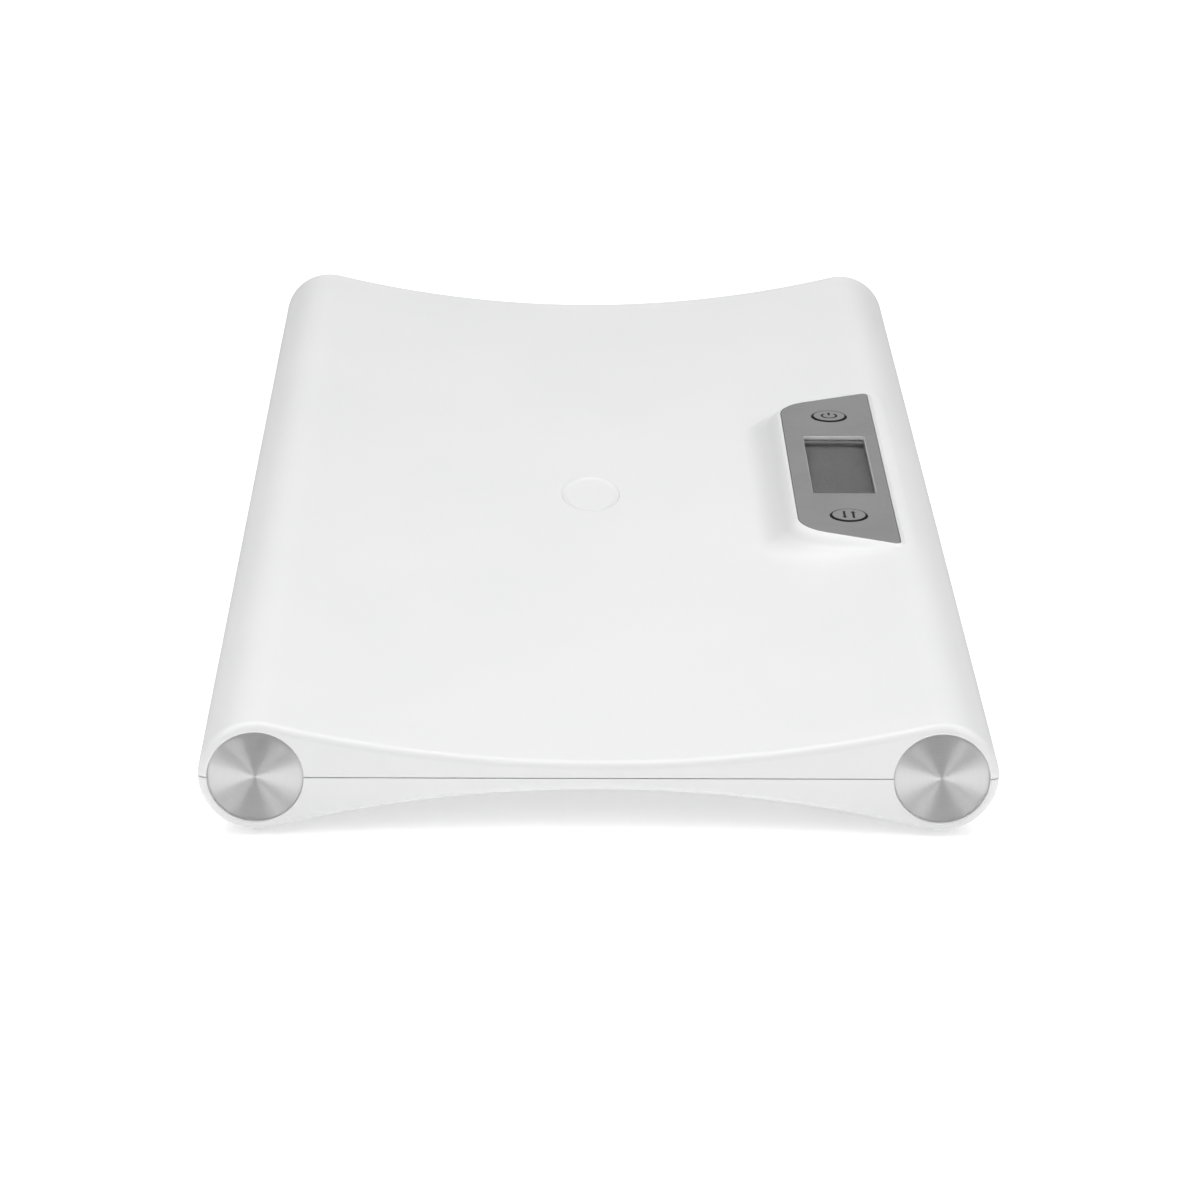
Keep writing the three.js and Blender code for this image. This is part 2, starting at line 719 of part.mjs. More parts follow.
function mainBoard() {
  const outline = roundedBox(windowX, 0, boardHalfWidth, boardHalfLength, windowCorner);
  const holes = boardScrewPlaces.map(({ x, y }) =>
    circleOutline(x, y, boardScrew.shank + fit, insideSteps));
  return prism(outline, boardBottom, boardTop, holes);
}

const chip = () => prism(roundedBox(0, 0, chipSize / 2, chipSize / 2, chipThickness / 2),
  boardTop + fit, boardTop + fit + chipThickness);

// Screws: a domed head below and a pointed shank above, seated at z = 0
function screw({ shank, head, headHeight, length: shankLength }) {
  return turned([
    [0, -headHeight], [head / 2, -headHeight], [head, -headHeight / 2], [head, 0],
    [shank, 0], [shank, shankLength - shank], [0, shankLength],
  ], insideSteps);
}

// Feet and load cells

function footCup() {
  const lipZ = footFloorTop + 2 * fit;
  const stemTop = cellHeight - fit;
  return turned([
    [0, cupBottom + padSocket + fit], [padRadius + fit, cupBottom + padSocket + fit],
    [padRadius + fit, cupBottom], [cupRadius, cupBottom], [cupRadius, cupTop], [stemRadius, cupTop],
    [stemRadius, lipZ], [stemRadius + stemLip, lipZ], [stemRadius, lipZ + stemLip],
    [stemRadius, stemTop], [0, stemTop],
  ]);
}

const footPad = () => turned([[0, 0], [padRadius, 0], [padRadius, padThickness], [0, padThickness]]);

// A steel plate with a U-shaped slot, which leaves a tongue over the foot's stem
function loadCell() {
  const half = cellLength / 2;
  const tongue = stemRadius + cellSlot;
  const rim = half - 2 * loadRibThickness;
  const outline = roundedBox(0, 0, cellHalfWidth, half, cellSlot);
  const slotOuter = tongue + cellSlot;
  const slot = [
    [-slotOuter, -rim], [slotOuter, -rim], [slotOuter, tongue], [tongue, tongue],
    [tongue, cellSlot - rim], [-tongue, cellSlot - rim], [-tongue, tongue], [-slotOuter, tongue],
  ].map(([x, y]) => new THREE.Vector2(x, y));
  return prism(outline, cellHeight, cellHeight + cellThickness, [slot]);
}

// Batteries and their contacts

// A round cell along +Y with its raised end last, starting at y = 0
function battery() {
  const profile = [
    [0, 0], [batteryRadius, 0], [batteryRadius, batteryLength], [nubRadius, batteryLength],
    [nubRadius, batteryLength + nubHeight], [0, batteryLength + nubHeight],
  ];
  return new THREE.LatheGeometry(profile.map(([x, y]) => new THREE.Vector2(x, y)), circleSteps);
}

const contactBottom = footDrop + tabSwing + 2 * fit;
const contactTop = boxCeiling - fit;
const tailTop = boxCeiling + boxWall + contactTailRise;

// A bowed strip of spring metal against the end wall at y = 0, bulging towards +Y
function contactLeaf(halfWidth) {
  const middle = (contactBottom + contactTop) / 2;
  const bow = contactSpring;
  const skin = contactThickness;
  const outline = [
    [skin, contactBottom], [skin, middle - contactLip], [skin + bow, middle], [skin, middle + contactLip],
    [skin, contactTop], [0, contactTop], [0, middle + contactLip], [bow, middle],
    [0, middle - contactLip], [0, contactBottom],
  ].map(([y, z]) => new THREE.Vector2(y, z));
  return toSolid(prismAlongX(outline, -halfWidth, halfWidth));
}

const linkContact = () => contactLeaf(batterySpacing / 2 + contactLip);

// One cell's contact, with a tail up through the box's ceiling for its lead
function tailedContact() {
  const tail = block(-contactTail, contactTail, 0, contactThickness, contactTop - overrun, tailTop);
  return join(contactLeaf(contactLip), tail);
}

// Battery door: a strip of the tube's skin. At one end a tab hooks over the shell's wall. At the
// other two slits leave a tongue that the thumb springs back.
function batteryDoor() {
  const reach = doorHalfLength + overrun;
  const column = block(-doorHalfWidth, doorHalfWidth, -doorHalfLength, doorHalfLength, 0, partingZ);
  const outer = rodAlongY(tubeRadius, 0, partingZ, -reach, reach, doorSteps);
  const inner = rodAlongY(tubeRadius - doorThickness, 0, partingZ, -reach - overrun, reach + overrun,
    doorSteps);
  const skin = common(cut(outer, inner), column);
  const half = tabWidth / 2;
  const tabTop = tabBottom + tabThickness;
  const riser = block(-half, half, -doorHalfLength, -doorHalfLength + tabRoot,
    footDrop + doorThickness / 2, tabTop);
  const tab = block(-half, half, -doorHalfLength - tabLength, -doorHalfLength + tabRoot, tabBottom, tabTop);
  const slits = [-1, 1].map((side) => block(
    side * notchRadius - slitWidth / 2, side * notchRadius + slitWidth / 2,
    doorHalfLength - slitLength, doorHalfLength + overrun, 0, partingZ));
  return join(cut(skin, ...slits), riser, tab);
}

// Leads

function lead(points, radius) {
  const path = new THREE.CatmullRomCurve3(points.map(([x, y, z]) => new THREE.Vector3(x, y, z)),
    false, 'centripetal');
  const outline = Array.from({ length: leadSides }, (_, i) => {
    const angle = 2 * Math.PI * i / leadSides;
    return new THREE.Vector2(radius * Math.cos(angle), radius * Math.sin(angle));
  });
  return new THREE.ExtrudeGeometry(new THREE.Shape(outline), { steps: leadSteps, extrudePath: path });
}

// Assembly

const scale = new THREE.Group();

function add(name, shape, finish, x = 0, y = 0, z = 0) {
  const geometry = shape instanceof THREE.BufferGeometry ? shape : toGeometry(shape);
  const mesh = new THREE.Mesh(geometry, finish());
  mesh.name = name;
  mesh.position.set(x, y, z);
  scale.add(mesh);
  return mesh;
}

add('bottom_shell', bottomShell(), whitePlastic);
add('top_shell', topShell(), whitePlastic);

for (const { name, x, y } of corners) {
  const disc = add(`end_disc_${name}`, endDisc(), spunMetal, x * tubeX,
    y * (halfLength - discRecess - discThickness), partingZ);
  disc.rotation.x = -y * Math.PI / 2;
}
add('badge', badge(), whitePlastic);

add('display_panel', displayPanel(), silverPaint);
add('display_lens', displayLens(), clearPlastic);
add('display_glass', displayGlassPlate(), displayGlass);
add('display_frame', displayFrame(), blackPlastic);
for (const { name, x } of sides) add(`contact_strip_${name}`, contactStrip(x), carbonRubber);

for (const { name, y } of keys) {
  add(`${name}_button`, key(), silverPaint, keyX, y);
  add(`${name}_switch`, keySwitch(), blackPlastic, keyX, y);
}
add('main_board', mainBoard(), greenBoard);
add('controller_chip', chip(), blackPlastic, keyX, chipY);
add('converter_chip', chip(), blackPlastic, keyX, -chipY);

for (const { name, x, y } of boardScrewPlaces) {
  add(`board_screw_${name}`, screw(boardScrew), steel, x, y, boardBottom - fit);
}
for (const { name, x, y } of caseScrewPlaces) {
  add(`case_screw_${name}`, screw(caseScrew), steel, x, y, partingZ - screwSeat - fit);
}

for (const { name, x, y } of corners) {
  add(`load_cell_${name}`, loadCell(), steel, x * tubeX, y * footY);
  add(`foot_cup_${name}`, footCup(), blackPlastic, x * tubeX, y * footY);
  add(`foot_pad_${name}`, footPad(), greyRubber, x * tubeX, y * footY);
}

add('battery_door', batteryDoor(), whitePlastic, tubeX);
const batteryStep = batteryLength + nubHeight + fit;
for (const [row, side] of [-1, 1].entries()) {
  for (const place of [0, 1]) {
    const start = -cellsLength / 2 + place * batteryStep;
    const cell = add(`battery_${2 * row + place + 1}`, battery(), cellWrap,
      tubeX + side * batterySpacing / 2, -side * start, batteryZ);
    cell.rotation.z = side > 0 ? Math.PI : 0;
  }
}
add('battery_link_contact', linkContact(), springBronze, tubeX, -boxHalfLength + fit);
for (const { name, x } of sides) {
  const contact = add(`battery_contact_${name}`, tailedContact(), springBronze,
    tubeX + x * batterySpacing / 2, boxHalfLength - fit);
  contact.rotation.z = Math.PI;
}

// Each load cell's lead lies on the cell beside the shell's load ribs, then runs to the board.
// Leads from the left-hand tube cross under the tray between the ribs.
const leadX = (loadRibWidth / 2 + cellHalfWidth) / 2;
const leadStart = cellHeight + cellThickness + fit + leadRadius;
const leadEnd = boardBottom - fit - leadRadius;
for (const { name, x, y } of corners) {
  const besideCell = [x * (tubeX - leadX), y * footY, leadStart];
  const pastCell = [x * (tubeX - leadX), y * (footY - cellLength), leadStart];
  const route = x > 0
    ? [besideCell, pastCell, [tubeX - leadX, y * leadCrossingY, partingZ],
      [tubeX - leadX, y * leadEntryY, partingZ], [tubeX - leadX, y * leadEntryY, leadEnd]]
    : [besideCell, pastCell, [leadX - tubeX, y * (leadCrossingY + cellLength), partingZ],
      [-ribReach, y * leadCrossingY, partingZ], [ribReach, y * leadCrossingY, partingZ],
      [screwX + leadX, y * screwMiddleY, partingZ], [screwX + leadX, y * leadEntryY, partingZ],
      [screwX + leadX, y * leadEntryY, leadEnd]];
  add(`load_cell_lead_${name}`, lead(route, leadRadius), leadJacket);
}
const tailY = boxHalfLength - fit - contactThickness / 2;
const batteryLeads = [{ side: -1, name: 'positive', jacket: redJacket },
  { side: 1, name: 'negative', jacket: blackJacket }];
for (const { side, name, jacket } of batteryLeads) {
  const tailX = tubeX + side * batterySpacing / 2;
  const padX = windowX + boardHalfWidth / 2 + side * contactTail;
  const start = tailTop + fit + batteryLeadRadius;
  const rise = (leadEnd - start) / 4;
  add(`battery_lead_${name}`, lead([[tailX, tailY, start], [tailX, tailY, start + rise],
    [padX, tailY, leadEnd - rise], [padX, tailY, leadEnd]], batteryLeadRadius), jacket);
}

export default scale;
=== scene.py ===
"""Looks for the digital baby weighing scale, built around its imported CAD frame.

Metres, +Z up, +X towards the display, +Y along the tray and away from the camera.
"""

from math import acos, atan2, ceil, cos, hypot, pi as PI, radians, sin, sqrt, tan

import bmesh
import bpy
import numpy as np
from mathutils import Matrix, Vector
from mathutils.geometry import delaunay_2d_cdt

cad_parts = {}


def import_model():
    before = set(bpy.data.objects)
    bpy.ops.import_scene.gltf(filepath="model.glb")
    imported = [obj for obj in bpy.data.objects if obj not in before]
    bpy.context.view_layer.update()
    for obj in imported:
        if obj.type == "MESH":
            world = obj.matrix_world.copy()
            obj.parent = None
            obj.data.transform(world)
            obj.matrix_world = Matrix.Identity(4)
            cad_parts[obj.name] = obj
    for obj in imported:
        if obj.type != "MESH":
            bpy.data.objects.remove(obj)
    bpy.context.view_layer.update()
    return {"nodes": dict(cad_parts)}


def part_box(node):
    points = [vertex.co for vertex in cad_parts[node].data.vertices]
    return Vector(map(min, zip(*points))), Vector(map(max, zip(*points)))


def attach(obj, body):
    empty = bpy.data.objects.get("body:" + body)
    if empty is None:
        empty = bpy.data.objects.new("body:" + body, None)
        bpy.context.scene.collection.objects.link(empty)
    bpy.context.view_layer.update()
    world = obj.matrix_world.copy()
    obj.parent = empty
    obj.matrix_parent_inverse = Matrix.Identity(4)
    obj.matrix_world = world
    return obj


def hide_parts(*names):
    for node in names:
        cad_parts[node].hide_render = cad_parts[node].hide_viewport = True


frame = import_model()
NODES = frame["nodes"]
SCENE = bpy.context.scene

mm = 0.001
CORNERS = [("front_left", -1, -1), ("front_right", 1, -1), ("rear_left", -1, 1), ("rear_right", 1, 1)]

# Sizes and places read from the frame


def middle(node):
    low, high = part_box(node)
    return (low + high) / 2


def half_size(node):
    low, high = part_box(node)
    return (high - low) / 2


SHELL_LOW, SHELL_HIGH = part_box("bottom_shell")
PANEL_LOW, PANEL_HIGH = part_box("display_panel")
LENS_LOW, LENS_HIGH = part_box("display_lens")
KEY_LOW, KEY_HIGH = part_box("power_button")
DISC_LOW, DISC_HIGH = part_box("end_disc_front_right")
BADGE_LOW, BADGE_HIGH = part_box("badge")
DOOR_LOW, DOOR_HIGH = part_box("battery_door")
CUP_LOW, CUP_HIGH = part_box("foot_cup_front_right")
PAD_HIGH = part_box("foot_pad_front_right")[1]
CELL_LOW, CELL_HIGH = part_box("load_cell_front_right")
CELL_HALF_Y = half_size("load_cell_front_right").y
BOARD_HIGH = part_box("main_board")[1]
SCREW_LOW, SCREW_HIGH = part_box("case_screw_right_1")
TAIL_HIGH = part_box("battery_contact_left")[1]

TUBE_X = middle("end_disc_front_right").x
PARTING_Z = middle("end_disc_front_right").z
TUBE_RADIUS = PARTING_Z - SHELL_LOW.z
CREST_Z = PARTING_Z + TUBE_RADIUS
HALF_LENGTH = SHELL_HIGH.y
DISC_RADIUS = half_size("end_disc_front_right").z
DISC_THICKNESS = DISC_HIGH.y - DISC_LOW.y
DISC_RECESS = HALF_LENGTH + DISC_LOW.y
PAD_RADIUS = half_size("foot_pad_front_right").x
ISLAND_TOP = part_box("top_shell")[1].z
FOOT_Y = middle("foot_pad_rear_right").y
KEY_X, KEY_Y, _ = middle("power_button")
WINDOW_X = middle("display_lens").x
BADGE_Y = middle("badge").y
BADGE_HALF_X = half_size("badge").x
BADGE_HALF_Y = half_size("badge").y

# Fits and sizes shared by the shells
FIT = 0.3 * mm
SNUG = 0.06 * mm
BADGE_EDGE = 0.15 * mm
OVERRUN = 1 * mm
TRAY_RISE = BADGE_HIGH.z - PARTING_Z
ARCH_DROP = 5.4 * mm
WALL = 2.4 * mm
END_WALL = 5 * mm
END_FILLET = 3.1 * mm
PARTING_GAP = 0.4 * mm
UPPER_FROM = PARTING_Z + PARTING_GAP / 2
LOWER_TO = PARTING_Z - PARTING_GAP / 2
LIP_THICKNESS = 1.2 * mm
LIP_HEIGHT = SHELL_HIGH.z - PARTING_Z
LIP_ROOT = 3.4 * mm
SOFT_EDGE = 0.35 * mm
RIB_THICKNESS = 1.6 * mm
RIB_REACH = 88 * mm
RIB_COUNT = 5
RIB_GAP = 3 * mm
RIB_PITCH = 2 * HALF_LENGTH / (RIB_COUNT + 1)

# The island, the panel, its window and the keys
PANEL_INNER_X = PANEL_LOW.x - FIT
PANEL_OUTER_X = PANEL_HIGH.x + FIT
PANEL_INNER_HALF = 83 * mm
PANEL_OUTER_HALF = 103 * mm
PANEL_INNER_CORNER = 20 * mm
PANEL_OUTER_CORNER = 2 * mm
PANEL_EDGE = 0.25 * mm
ISLAND_BORDER = 1.2 * mm
ISLAND_SLOPE_SHARE = 0.82
SHOULDER = 4 * mm
FOOT_BLEND = 7 * mm
FOOT_BLEND_FROM = 1.2 * mm
FOOT_BLEND_OVER = 6 * mm
DECK_TOP = PANEL_LOW.z - FIT
DECK_UNDER = DECK_TOP - WALL
LENS_BORDER = 2.8 * mm
WINDOW_HALF_X = half_size("display_lens").x - LENS_BORDER
WINDOW_HALF_Y = half_size("display_lens").y - LENS_BORDER
WINDOW_CORNER = 1.5 * mm
WINDOW_RIM = 0.6 * mm
FRAME_COLLAR = 1 * mm
KEY_RADIUS = 7.7 * mm
KEY_GAP = 0.4 * mm
KEY_EDGE = 0.35 * mm
# A black rim round the key's silver top: partly bare moulding, partly painted shade that darkens the gap
# round the key
KEY_BLACK_SHADE_RIM = 0.35 * mm
KEY_FLANGE = 1.2 * mm
FLANGE_TOP = DECK_UNDER - FIT
FLANGE_THICKNESS = 1.2 * mm
PLUNGER_RADIUS = 2.4 * mm
ICON_DEPTH = 0.15 * mm
ICON_SINK = 0.03 * mm
ICON_FIT = 0.02 * mm
ICON_STROKE = 0.95 * mm
POWER_RADIUS = 3.3 * mm
POWER_GAP = radians(38)
POWER_BAR_SHARE = 0.2
ARROW_HALF = 4.4 * mm
ARROW_HEAD = 1.2 * mm
ARROW_HEAD_LENGTH_SHARE = 1.6
ARROW_SPACING = 1.9 * mm

# Fineness of the meshes
STATION_STEP = 12 * mm
TUBE_STEPS = 104
HOLLOW_STEPS = 96
INNER_STEPS = 60
FILLET_STEPS = 8
ROUND_STEPS = 4
KEY_ROUND_STEPS = 6
CORNER_STEPS = 12
PANEL_CORNER_STEPS = 24
COARSE = 24
MEDIUM = 48
SMOOTH = 64
FINE = 96
KEY_STEPS = 128
DISC_STEPS = 144
DOOR_STEPS = 384

# Tolerances, and the angle from which an edge is sharp
WELD = 0.001 * mm
SEAM_WELD = 0.002 * mm
PLAN_TOLERANCE = 1e-7
TINY = 1e-9
SHARP_ANGLE = radians(30)

# The tray, the arch and the places where they meet the tubes
TRAY_ARC = (TUBE_X**2 + TRAY_RISE**2 - TUBE_RADIUS**2) / (2 * (TUBE_RADIUS - TRAY_RISE))
ARCH_ARC = (TUBE_X**2 + ARCH_DROP**2 - TUBE_RADIUS**2) / (2 * (TUBE_RADIUS - ARCH_DROP))
TRAY_CENTRE = PARTING_Z + TRAY_RISE + TRAY_ARC
ARCH_CENTRE = PARTING_Z - ARCH_DROP - ARCH_ARC
UPPER = atan2(TRAY_CENTRE - PARTING_Z, TUBE_X)
LOWER = atan2(PARTING_Z - ARCH_CENTRE, TUBE_X)
TRAY_EDGE = TUBE_X - TUBE_RADIUS * cos(UPPER)

# Meshes and solids


def shown(name, data):
    """A new object in the scene."""
    made = bpy.data.objects.new(name, data)
    SCENE.collection.objects.link(made)
    return made


def edited(piece, work):
    """A piece whose mesh has been worked on."""
    bm = bmesh.new()
    bm.from_mesh(piece.data)
    work(bm)
    bm.to_mesh(piece.data)
    bm.free()
    return piece


def turn_outwards(bm):
    bmesh.ops.recalc_face_normals(bm, faces=bm.faces)


def weld(bm):
    """Merges the corners that cuts along one edge can leave on top of each other."""
    bmesh.ops.remove_doubles(bm, verts=bm.verts, dist=WELD)
    bmesh.ops.dissolve_degenerate(bm, edges=bm.edges, dist=WELD)


def solid(name, points, faces):
    """A new object from points and faces, with its faces turned outwards."""
    mesh = bpy.data.meshes.new(name)
    mesh.from_pydata([tuple(float(c) for c in p) for p in points], [], faces)
    return edited(shown(name, mesh), turn_outwards)


def loft(name, rings):
    """A closed solid through rings of equal point counts, capped at both ends."""
    count = len(rings[0])
    faces = []
    for a in range(0, (len(rings) - 1) * count, count):
        for i in range(count):
            j = (i + 1) % count
            faces.append((a + i, a + j, a + count + j, a + count + i))
    last = (len(rings) - 1) * count
    faces += [tuple(range(count)), tuple(range(last, last + count))]
    return solid(name, np.concatenate(rings), faces)


def lathe(name, profile, steps=FINE):
    """A solid turned about Z from (radius, z) pairs that start and end on the axis."""
    angles = np.arange(steps) * 2 * PI / steps
    circle = np.stack([np.cos(angles), np.sin(angles)], 1)
    rings = [np.column_stack([circle * r, np.full(steps, z)]) for r, z in profile[1:-1]]
    points = [*np.concatenate(rings), (0, 0, profile[0][1]), (0, 0, profile[-1][1])]
    count = len(rings) * steps
    faces = []
    for i in range(steps):
        j = (i + 1) % steps
        faces += [(a + i, a + j, a + steps + j, a + steps + i) for a in range(0, count - steps, steps)]
        faces += [(i, j, count), (count - steps + i, count - steps + j, count + 1)]
    return solid(name, points, faces)


def arc(x, y, radius, start, end, steps):
    angles = np.linspace(start, end, steps + 1)
    return np.stack([x + radius * np.cos(angles), y + radius * np.sin(angles)], 1)


def rounded(corners, steps=CORNER_STEPS):
    """A polygon of (x, y, radius) corners with its corners rounded off."""
    points = []
    for i, (x, y, radius) in enumerate(corners):
        here = Vector((x, y))
        back = (Vector(corners[i - 1][:2]) - here).normalized()
        on = (Vector(corners[(i + 1) % len(corners)][:2]) - here).normalized()
        half = acos(back.dot(on)) / 2
        start = here + back * (radius / tan(half))
        centre = here + (back + on).normalized() * (radius / sin(half))
        angle = atan2(start.y - centre.y, start.x - centre.x)
        points.append(arc(centre.x, centre.y, radius, angle, angle + PI - 2 * half, steps))
    return np.concatenate(points)


def rounded_box(x, y, half_x, half_y, radius):
    """An outline that grows by a distance, for a box with round corners."""
    def outline(grow):
        a, b, r = half_x + grow, half_y + grow, max(radius + grow, radius / 2)
        return rounded([(x - a, y - b, r), (x + a, y - b, r), (x + a, y + b, r), (x - a, y + b, r)])
    return outline


def circle_outline(x, y, radius, steps=FINE):
    return lambda grow: arc(x, y, radius + grow, 0, 2 * PI * (1 - 1 / steps), steps - 1)


def oval_outline(y, half_x, half_y):
    circle = circle_outline(0, 0, 1)(0)
    return lambda grow: circle * (half_x + grow, half_y + grow) + (0, y)


def at_z(outline, z):
    return np.column_stack([outline, np.full(len(outline), z)])


def at_y(outline, y):
    return np.column_stack([outline[:, 0], np.full(len(outline), y), outline[:, 1]])


def stack(name, outline, levels):
    """An upright solid through (grow, z) levels of one outline."""
    return loft(name, [at_z(outline(grow), z) for grow, z in levels])


def prism(name, outline, z0, z1):
    return loft(name, [at_z(np.array(outline), z0), at_z(np.array(outline), z1)])


def round_over(edge, z, steps=ROUND_STEPS):
    """Levels that round the top edge of a solid over, up to z."""
    turns = np.linspace(0, PI / 2, steps + 1)
    return [(-edge * (1 - cos(t)), z - edge + edge * sin(t)) for t in turns]


# How far a mouth goes on opening above its edge, as a share of its radius
MOUTH_SHARE = 1.2


def flare(edge, z):
    """Levels that leave a rounded mouth round a cut, up to z and out of it."""
    return [(-grow, level) for grow, level in round_over(edge, z)] + [(edge * MOUTH_SHARE, z + OVERRUN)]


def block(name, x0, x1, y0, y1, z0, z1):
    return prism(name, [(x0, y0), (x1, y0), (x1, y1), (x0, y1)], z0, z1)


def pillar(name, x, y, half_x, half_y, z0, z1):
    return block(name, x - half_x, x + half_x, y - half_y, y + half_y, z0, z1)


def rod(name, radius, x, y, z0, z1, steps=MEDIUM):
    return prism(name, circle_outline(x, y, radius, steps)(0), z0, z1)


def rods(name, nodes, radius, z0, z1):
    """Upright rods at the middles of CAD nodes."""
    return [rod(name, radius, *middle(node).xy, z0, z1) for node in nodes]


def rod_along_y(name, radius, x, reach, steps=2 * FINE):
    """A rod at the tubes' height that reaches as far to the front as to the rear."""
    circle = circle_outline(x, PARTING_Z, radius, steps)(0)
    return loft(name, [at_y(circle, -reach), at_y(circle, reach)])


def along_y(side, x, y, z):
    """The turn and place of a solid made about Z whose +Z is to point along +Y or -Y."""
    return Matrix.Translation((x, y, z)) @ Matrix.Rotation(-side * PI / 2, 4, "X")


def moved(piece, place):
    piece.data.transform(place)
    return piece


def combine(piece, operation, tools):
    """Joins, cuts or intersects a piece with solids, which are then dropped."""
    for tool in tools:
        step = piece.modifiers.new("combine", "BOOLEAN")
        step.operation = operation
        step.solver = "MANIFOLD"
        step.object = tool
    graph = bpy.context.evaluated_depsgraph_get()
    made = bpy.data.meshes.new_from_object(piece.evaluated_get(graph))
    piece.modifiers.clear()
    piece.data = made
    for tool in tools:
        bpy.data.objects.remove(tool)
    return piece


def join(piece, *tools):
    return combine(piece, "UNION", tools)


def cut(piece, *tools):
    return combine(piece, "DIFFERENCE", tools)


def common(piece, *tools):
    return combine(piece, "INTERSECT", tools)


# Materials


class Graph:
    """Shader nodes under construction."""

    def __init__(self, tree):
        self.tree = tree

    def feed(self, target, value):
        """Links an output to a socket, or sets the socket to a constant."""
        if isinstance(value, bpy.types.NodeSocket):
            self.tree.links.new(value, target)
        else:
            target.default_value = value

    def node(self, kind, inputs=None, **settings):
        """A new node with its settings, and with its inputs linked or set."""
        made = self.tree.nodes.new("ShaderNode" + kind)
        for name, value in settings.items():
            setattr(made, name, value)
        for place, value in (inputs or {}).items():
            self.feed(made.inputs[place], value)
        return made

    def out(self, kind, output, inputs=None, **settings):
        """An output of a new node."""
        return self.node(kind, inputs, **settings).outputs[output]

    def ranged(self, value, low, high, start=0.3, end=0.7, way="LINEAR"):
        """A value from start to end, turned into one from low to high."""
        inputs = {"Value": value, "From Min": start, "From Max": end, "To Min": low, "To Max": high}
        return self.out("MapRange", "Result", inputs, interpolation_type=way)

    def mixed(self, share, a, b):
        """A number that runs from a to b."""
        return self.out("Mix", "Result", {"Factor": share, "A": a, "B": b}, data_type="FLOAT")

    def y_of(self, place):
        return self.out("SeparateXYZ", "Y", {"Vector": place})


class Look(Graph):
    """A procedural material under construction. Texture sizes and depths are in metres."""

    def __init__(self, name, colour, roughness, **sockets):
        self.material = bpy.data.materials.new(name)
        self.material.use_nodes = True
        super().__init__(self.material.node_tree)
        self.shader = self.tree.nodes["Principled BSDF"]
        self.set(Base_Color=(*colour, 1), Roughness=roughness, **sockets)
        self.place = self.out("TexCoord", "Object")

    def set(self, **sockets):
        """Sets or links inputs of the shader."""
        for name, value in sockets.items():
            self.feed(self.shader.inputs[name.replace("_", " ")], value)

    def noise(self, size, detail=3, stretch=(1, 1, 1)):
        """Noise with features of one size, drawn out along axes by stretch."""
        drawn = self.out("Mapping", "Vector", {"Vector": self.place, "Scale": [1 / s for s in stretch]})
        return self.out("TexNoise", "Fac", {"Vector": drawn, "Scale": 1 / size, "Detail": detail})

    def sum(self, a, b):
        return self.out("Math", "Value", {0: a, 1: b}, operation="ADD")

    def radius(self):
        """Distance from the object's own Z axis."""
        flat = self.out("VectorMath", "Vector", {0: self.place, 1: (1, 1, 0)}, operation="MULTIPLY")
        return self.out("VectorMath", "Value", {0: flat}, operation="LENGTH")

    def tint(self, share, dark, light, start=0.3, end=0.7):
        """Base colour that runs from dark to light while a value runs from start to end."""
        made = self.node("Mix", {"Factor": self.ranged(share, 0, 1, start, end)}, data_type="RGBA")
        for socket, colour in zip([s for s in made.inputs if s.type == "RGBA"], (dark, light)):
            socket.default_value = (*colour, 1)
        self.set(Base_Color=next(s for s in made.outputs if s.type == "RGBA"))

    def rough(self, value, low, high, start=0.3, end=0.7):
        self.set(Roughness=self.ranged(value, low, high, start, end))

    def bump(self, height, depth, strength=1):
        inputs = {"Strength": strength, "Distance": depth, "Height": height}
        self.set(Normal=self.out("Bump", "Normal", inputs))


def grey(value):
    return (value, value, value)


def white_plastic():
    """Glossy moulded plastic: barely uneven gloss, fine handling marks and a trace of sink."""
    look = Look("white_plastic", grey(0.755), 0.2)
    cloud = look.noise(60 * mm, detail=2)
    look.tint(cloud, dark=(0.75, 0.752, 0.753), light=(0.762, 0.763, 0.762))
    marks = look.noise(1.6 * mm, detail=4, stretch=(1, 14, 1))
    look.set(Roughness=look.sum(look.ranged(cloud, low=0.285, high=0.31),
                                look.ranged(marks, low=0, high=0.03, start=0.55, end=0.75)))
    grain = look.noise(1.1 * mm, detail=4)
    look.bump(look.sum(grain, look.noise(18 * mm, detail=1)), depth=0.006 * mm)
    return look.material


def spun_metal():
    """Aluminium turned on a lathe: fine rings that draw highlights out along the radius."""
    look = Look("spun_metal", grey(0.7), 0.42, Metallic=1, Anisotropic=1, Anisotropic_Rotation=0.25)
    look.set(Tangent=look.out("Tangent", "Tangent", direction_type="RADIAL", axis="Z"))
    inputs = {"W": look.radius(), "Scale": 1 / (0.16 * mm), "Detail": 4}
    rings = look.out("TexNoise", "Fac", inputs, noise_dimensions="1D")
    look.tint(rings, dark=grey(0.68), light=grey(0.84))
    look.rough(rings, low=0.39, high=0.46)
    look.bump(rings, depth=0.004 * mm, strength=0.5)
    return look.material


def silver_paint():
    """Matt silver paint with a fine flake."""
    level = 0.312
    look = Look("silver_paint", grey(level), 0.42, Metallic=0.25)
    flake = look.noise(0.22 * mm, detail=2)
    patch = look.noise(30 * mm, detail=2)
    look.tint(look.sum(flake, patch), dark=grey(level * 0.93), light=grey(level * 1.08), start=0.7, end=1.3)
    look.rough(look.noise(4 * mm), low=0.39, high=0.46)
    look.bump(flake, depth=0.008 * mm)
    return look.material


def clear_plastic():
    """Hard clear acrylic with faint wiping marks."""
    look = Look("clear_plastic", grey(0.97), 0.03, Transmission_Weight=1, IOR=1.49)
    look.rough(look.noise(0.5 * mm, stretch=(12, 1, 1)), low=0.02, high=0.06, start=0.5, end=0.75)
    look.tint(look.noise(20 * mm, detail=2), dark=grey(0.95), light=grey(0.98))
    look.bump(look.noise(30 * mm, detail=1), depth=0.003 * mm)
    return look.material


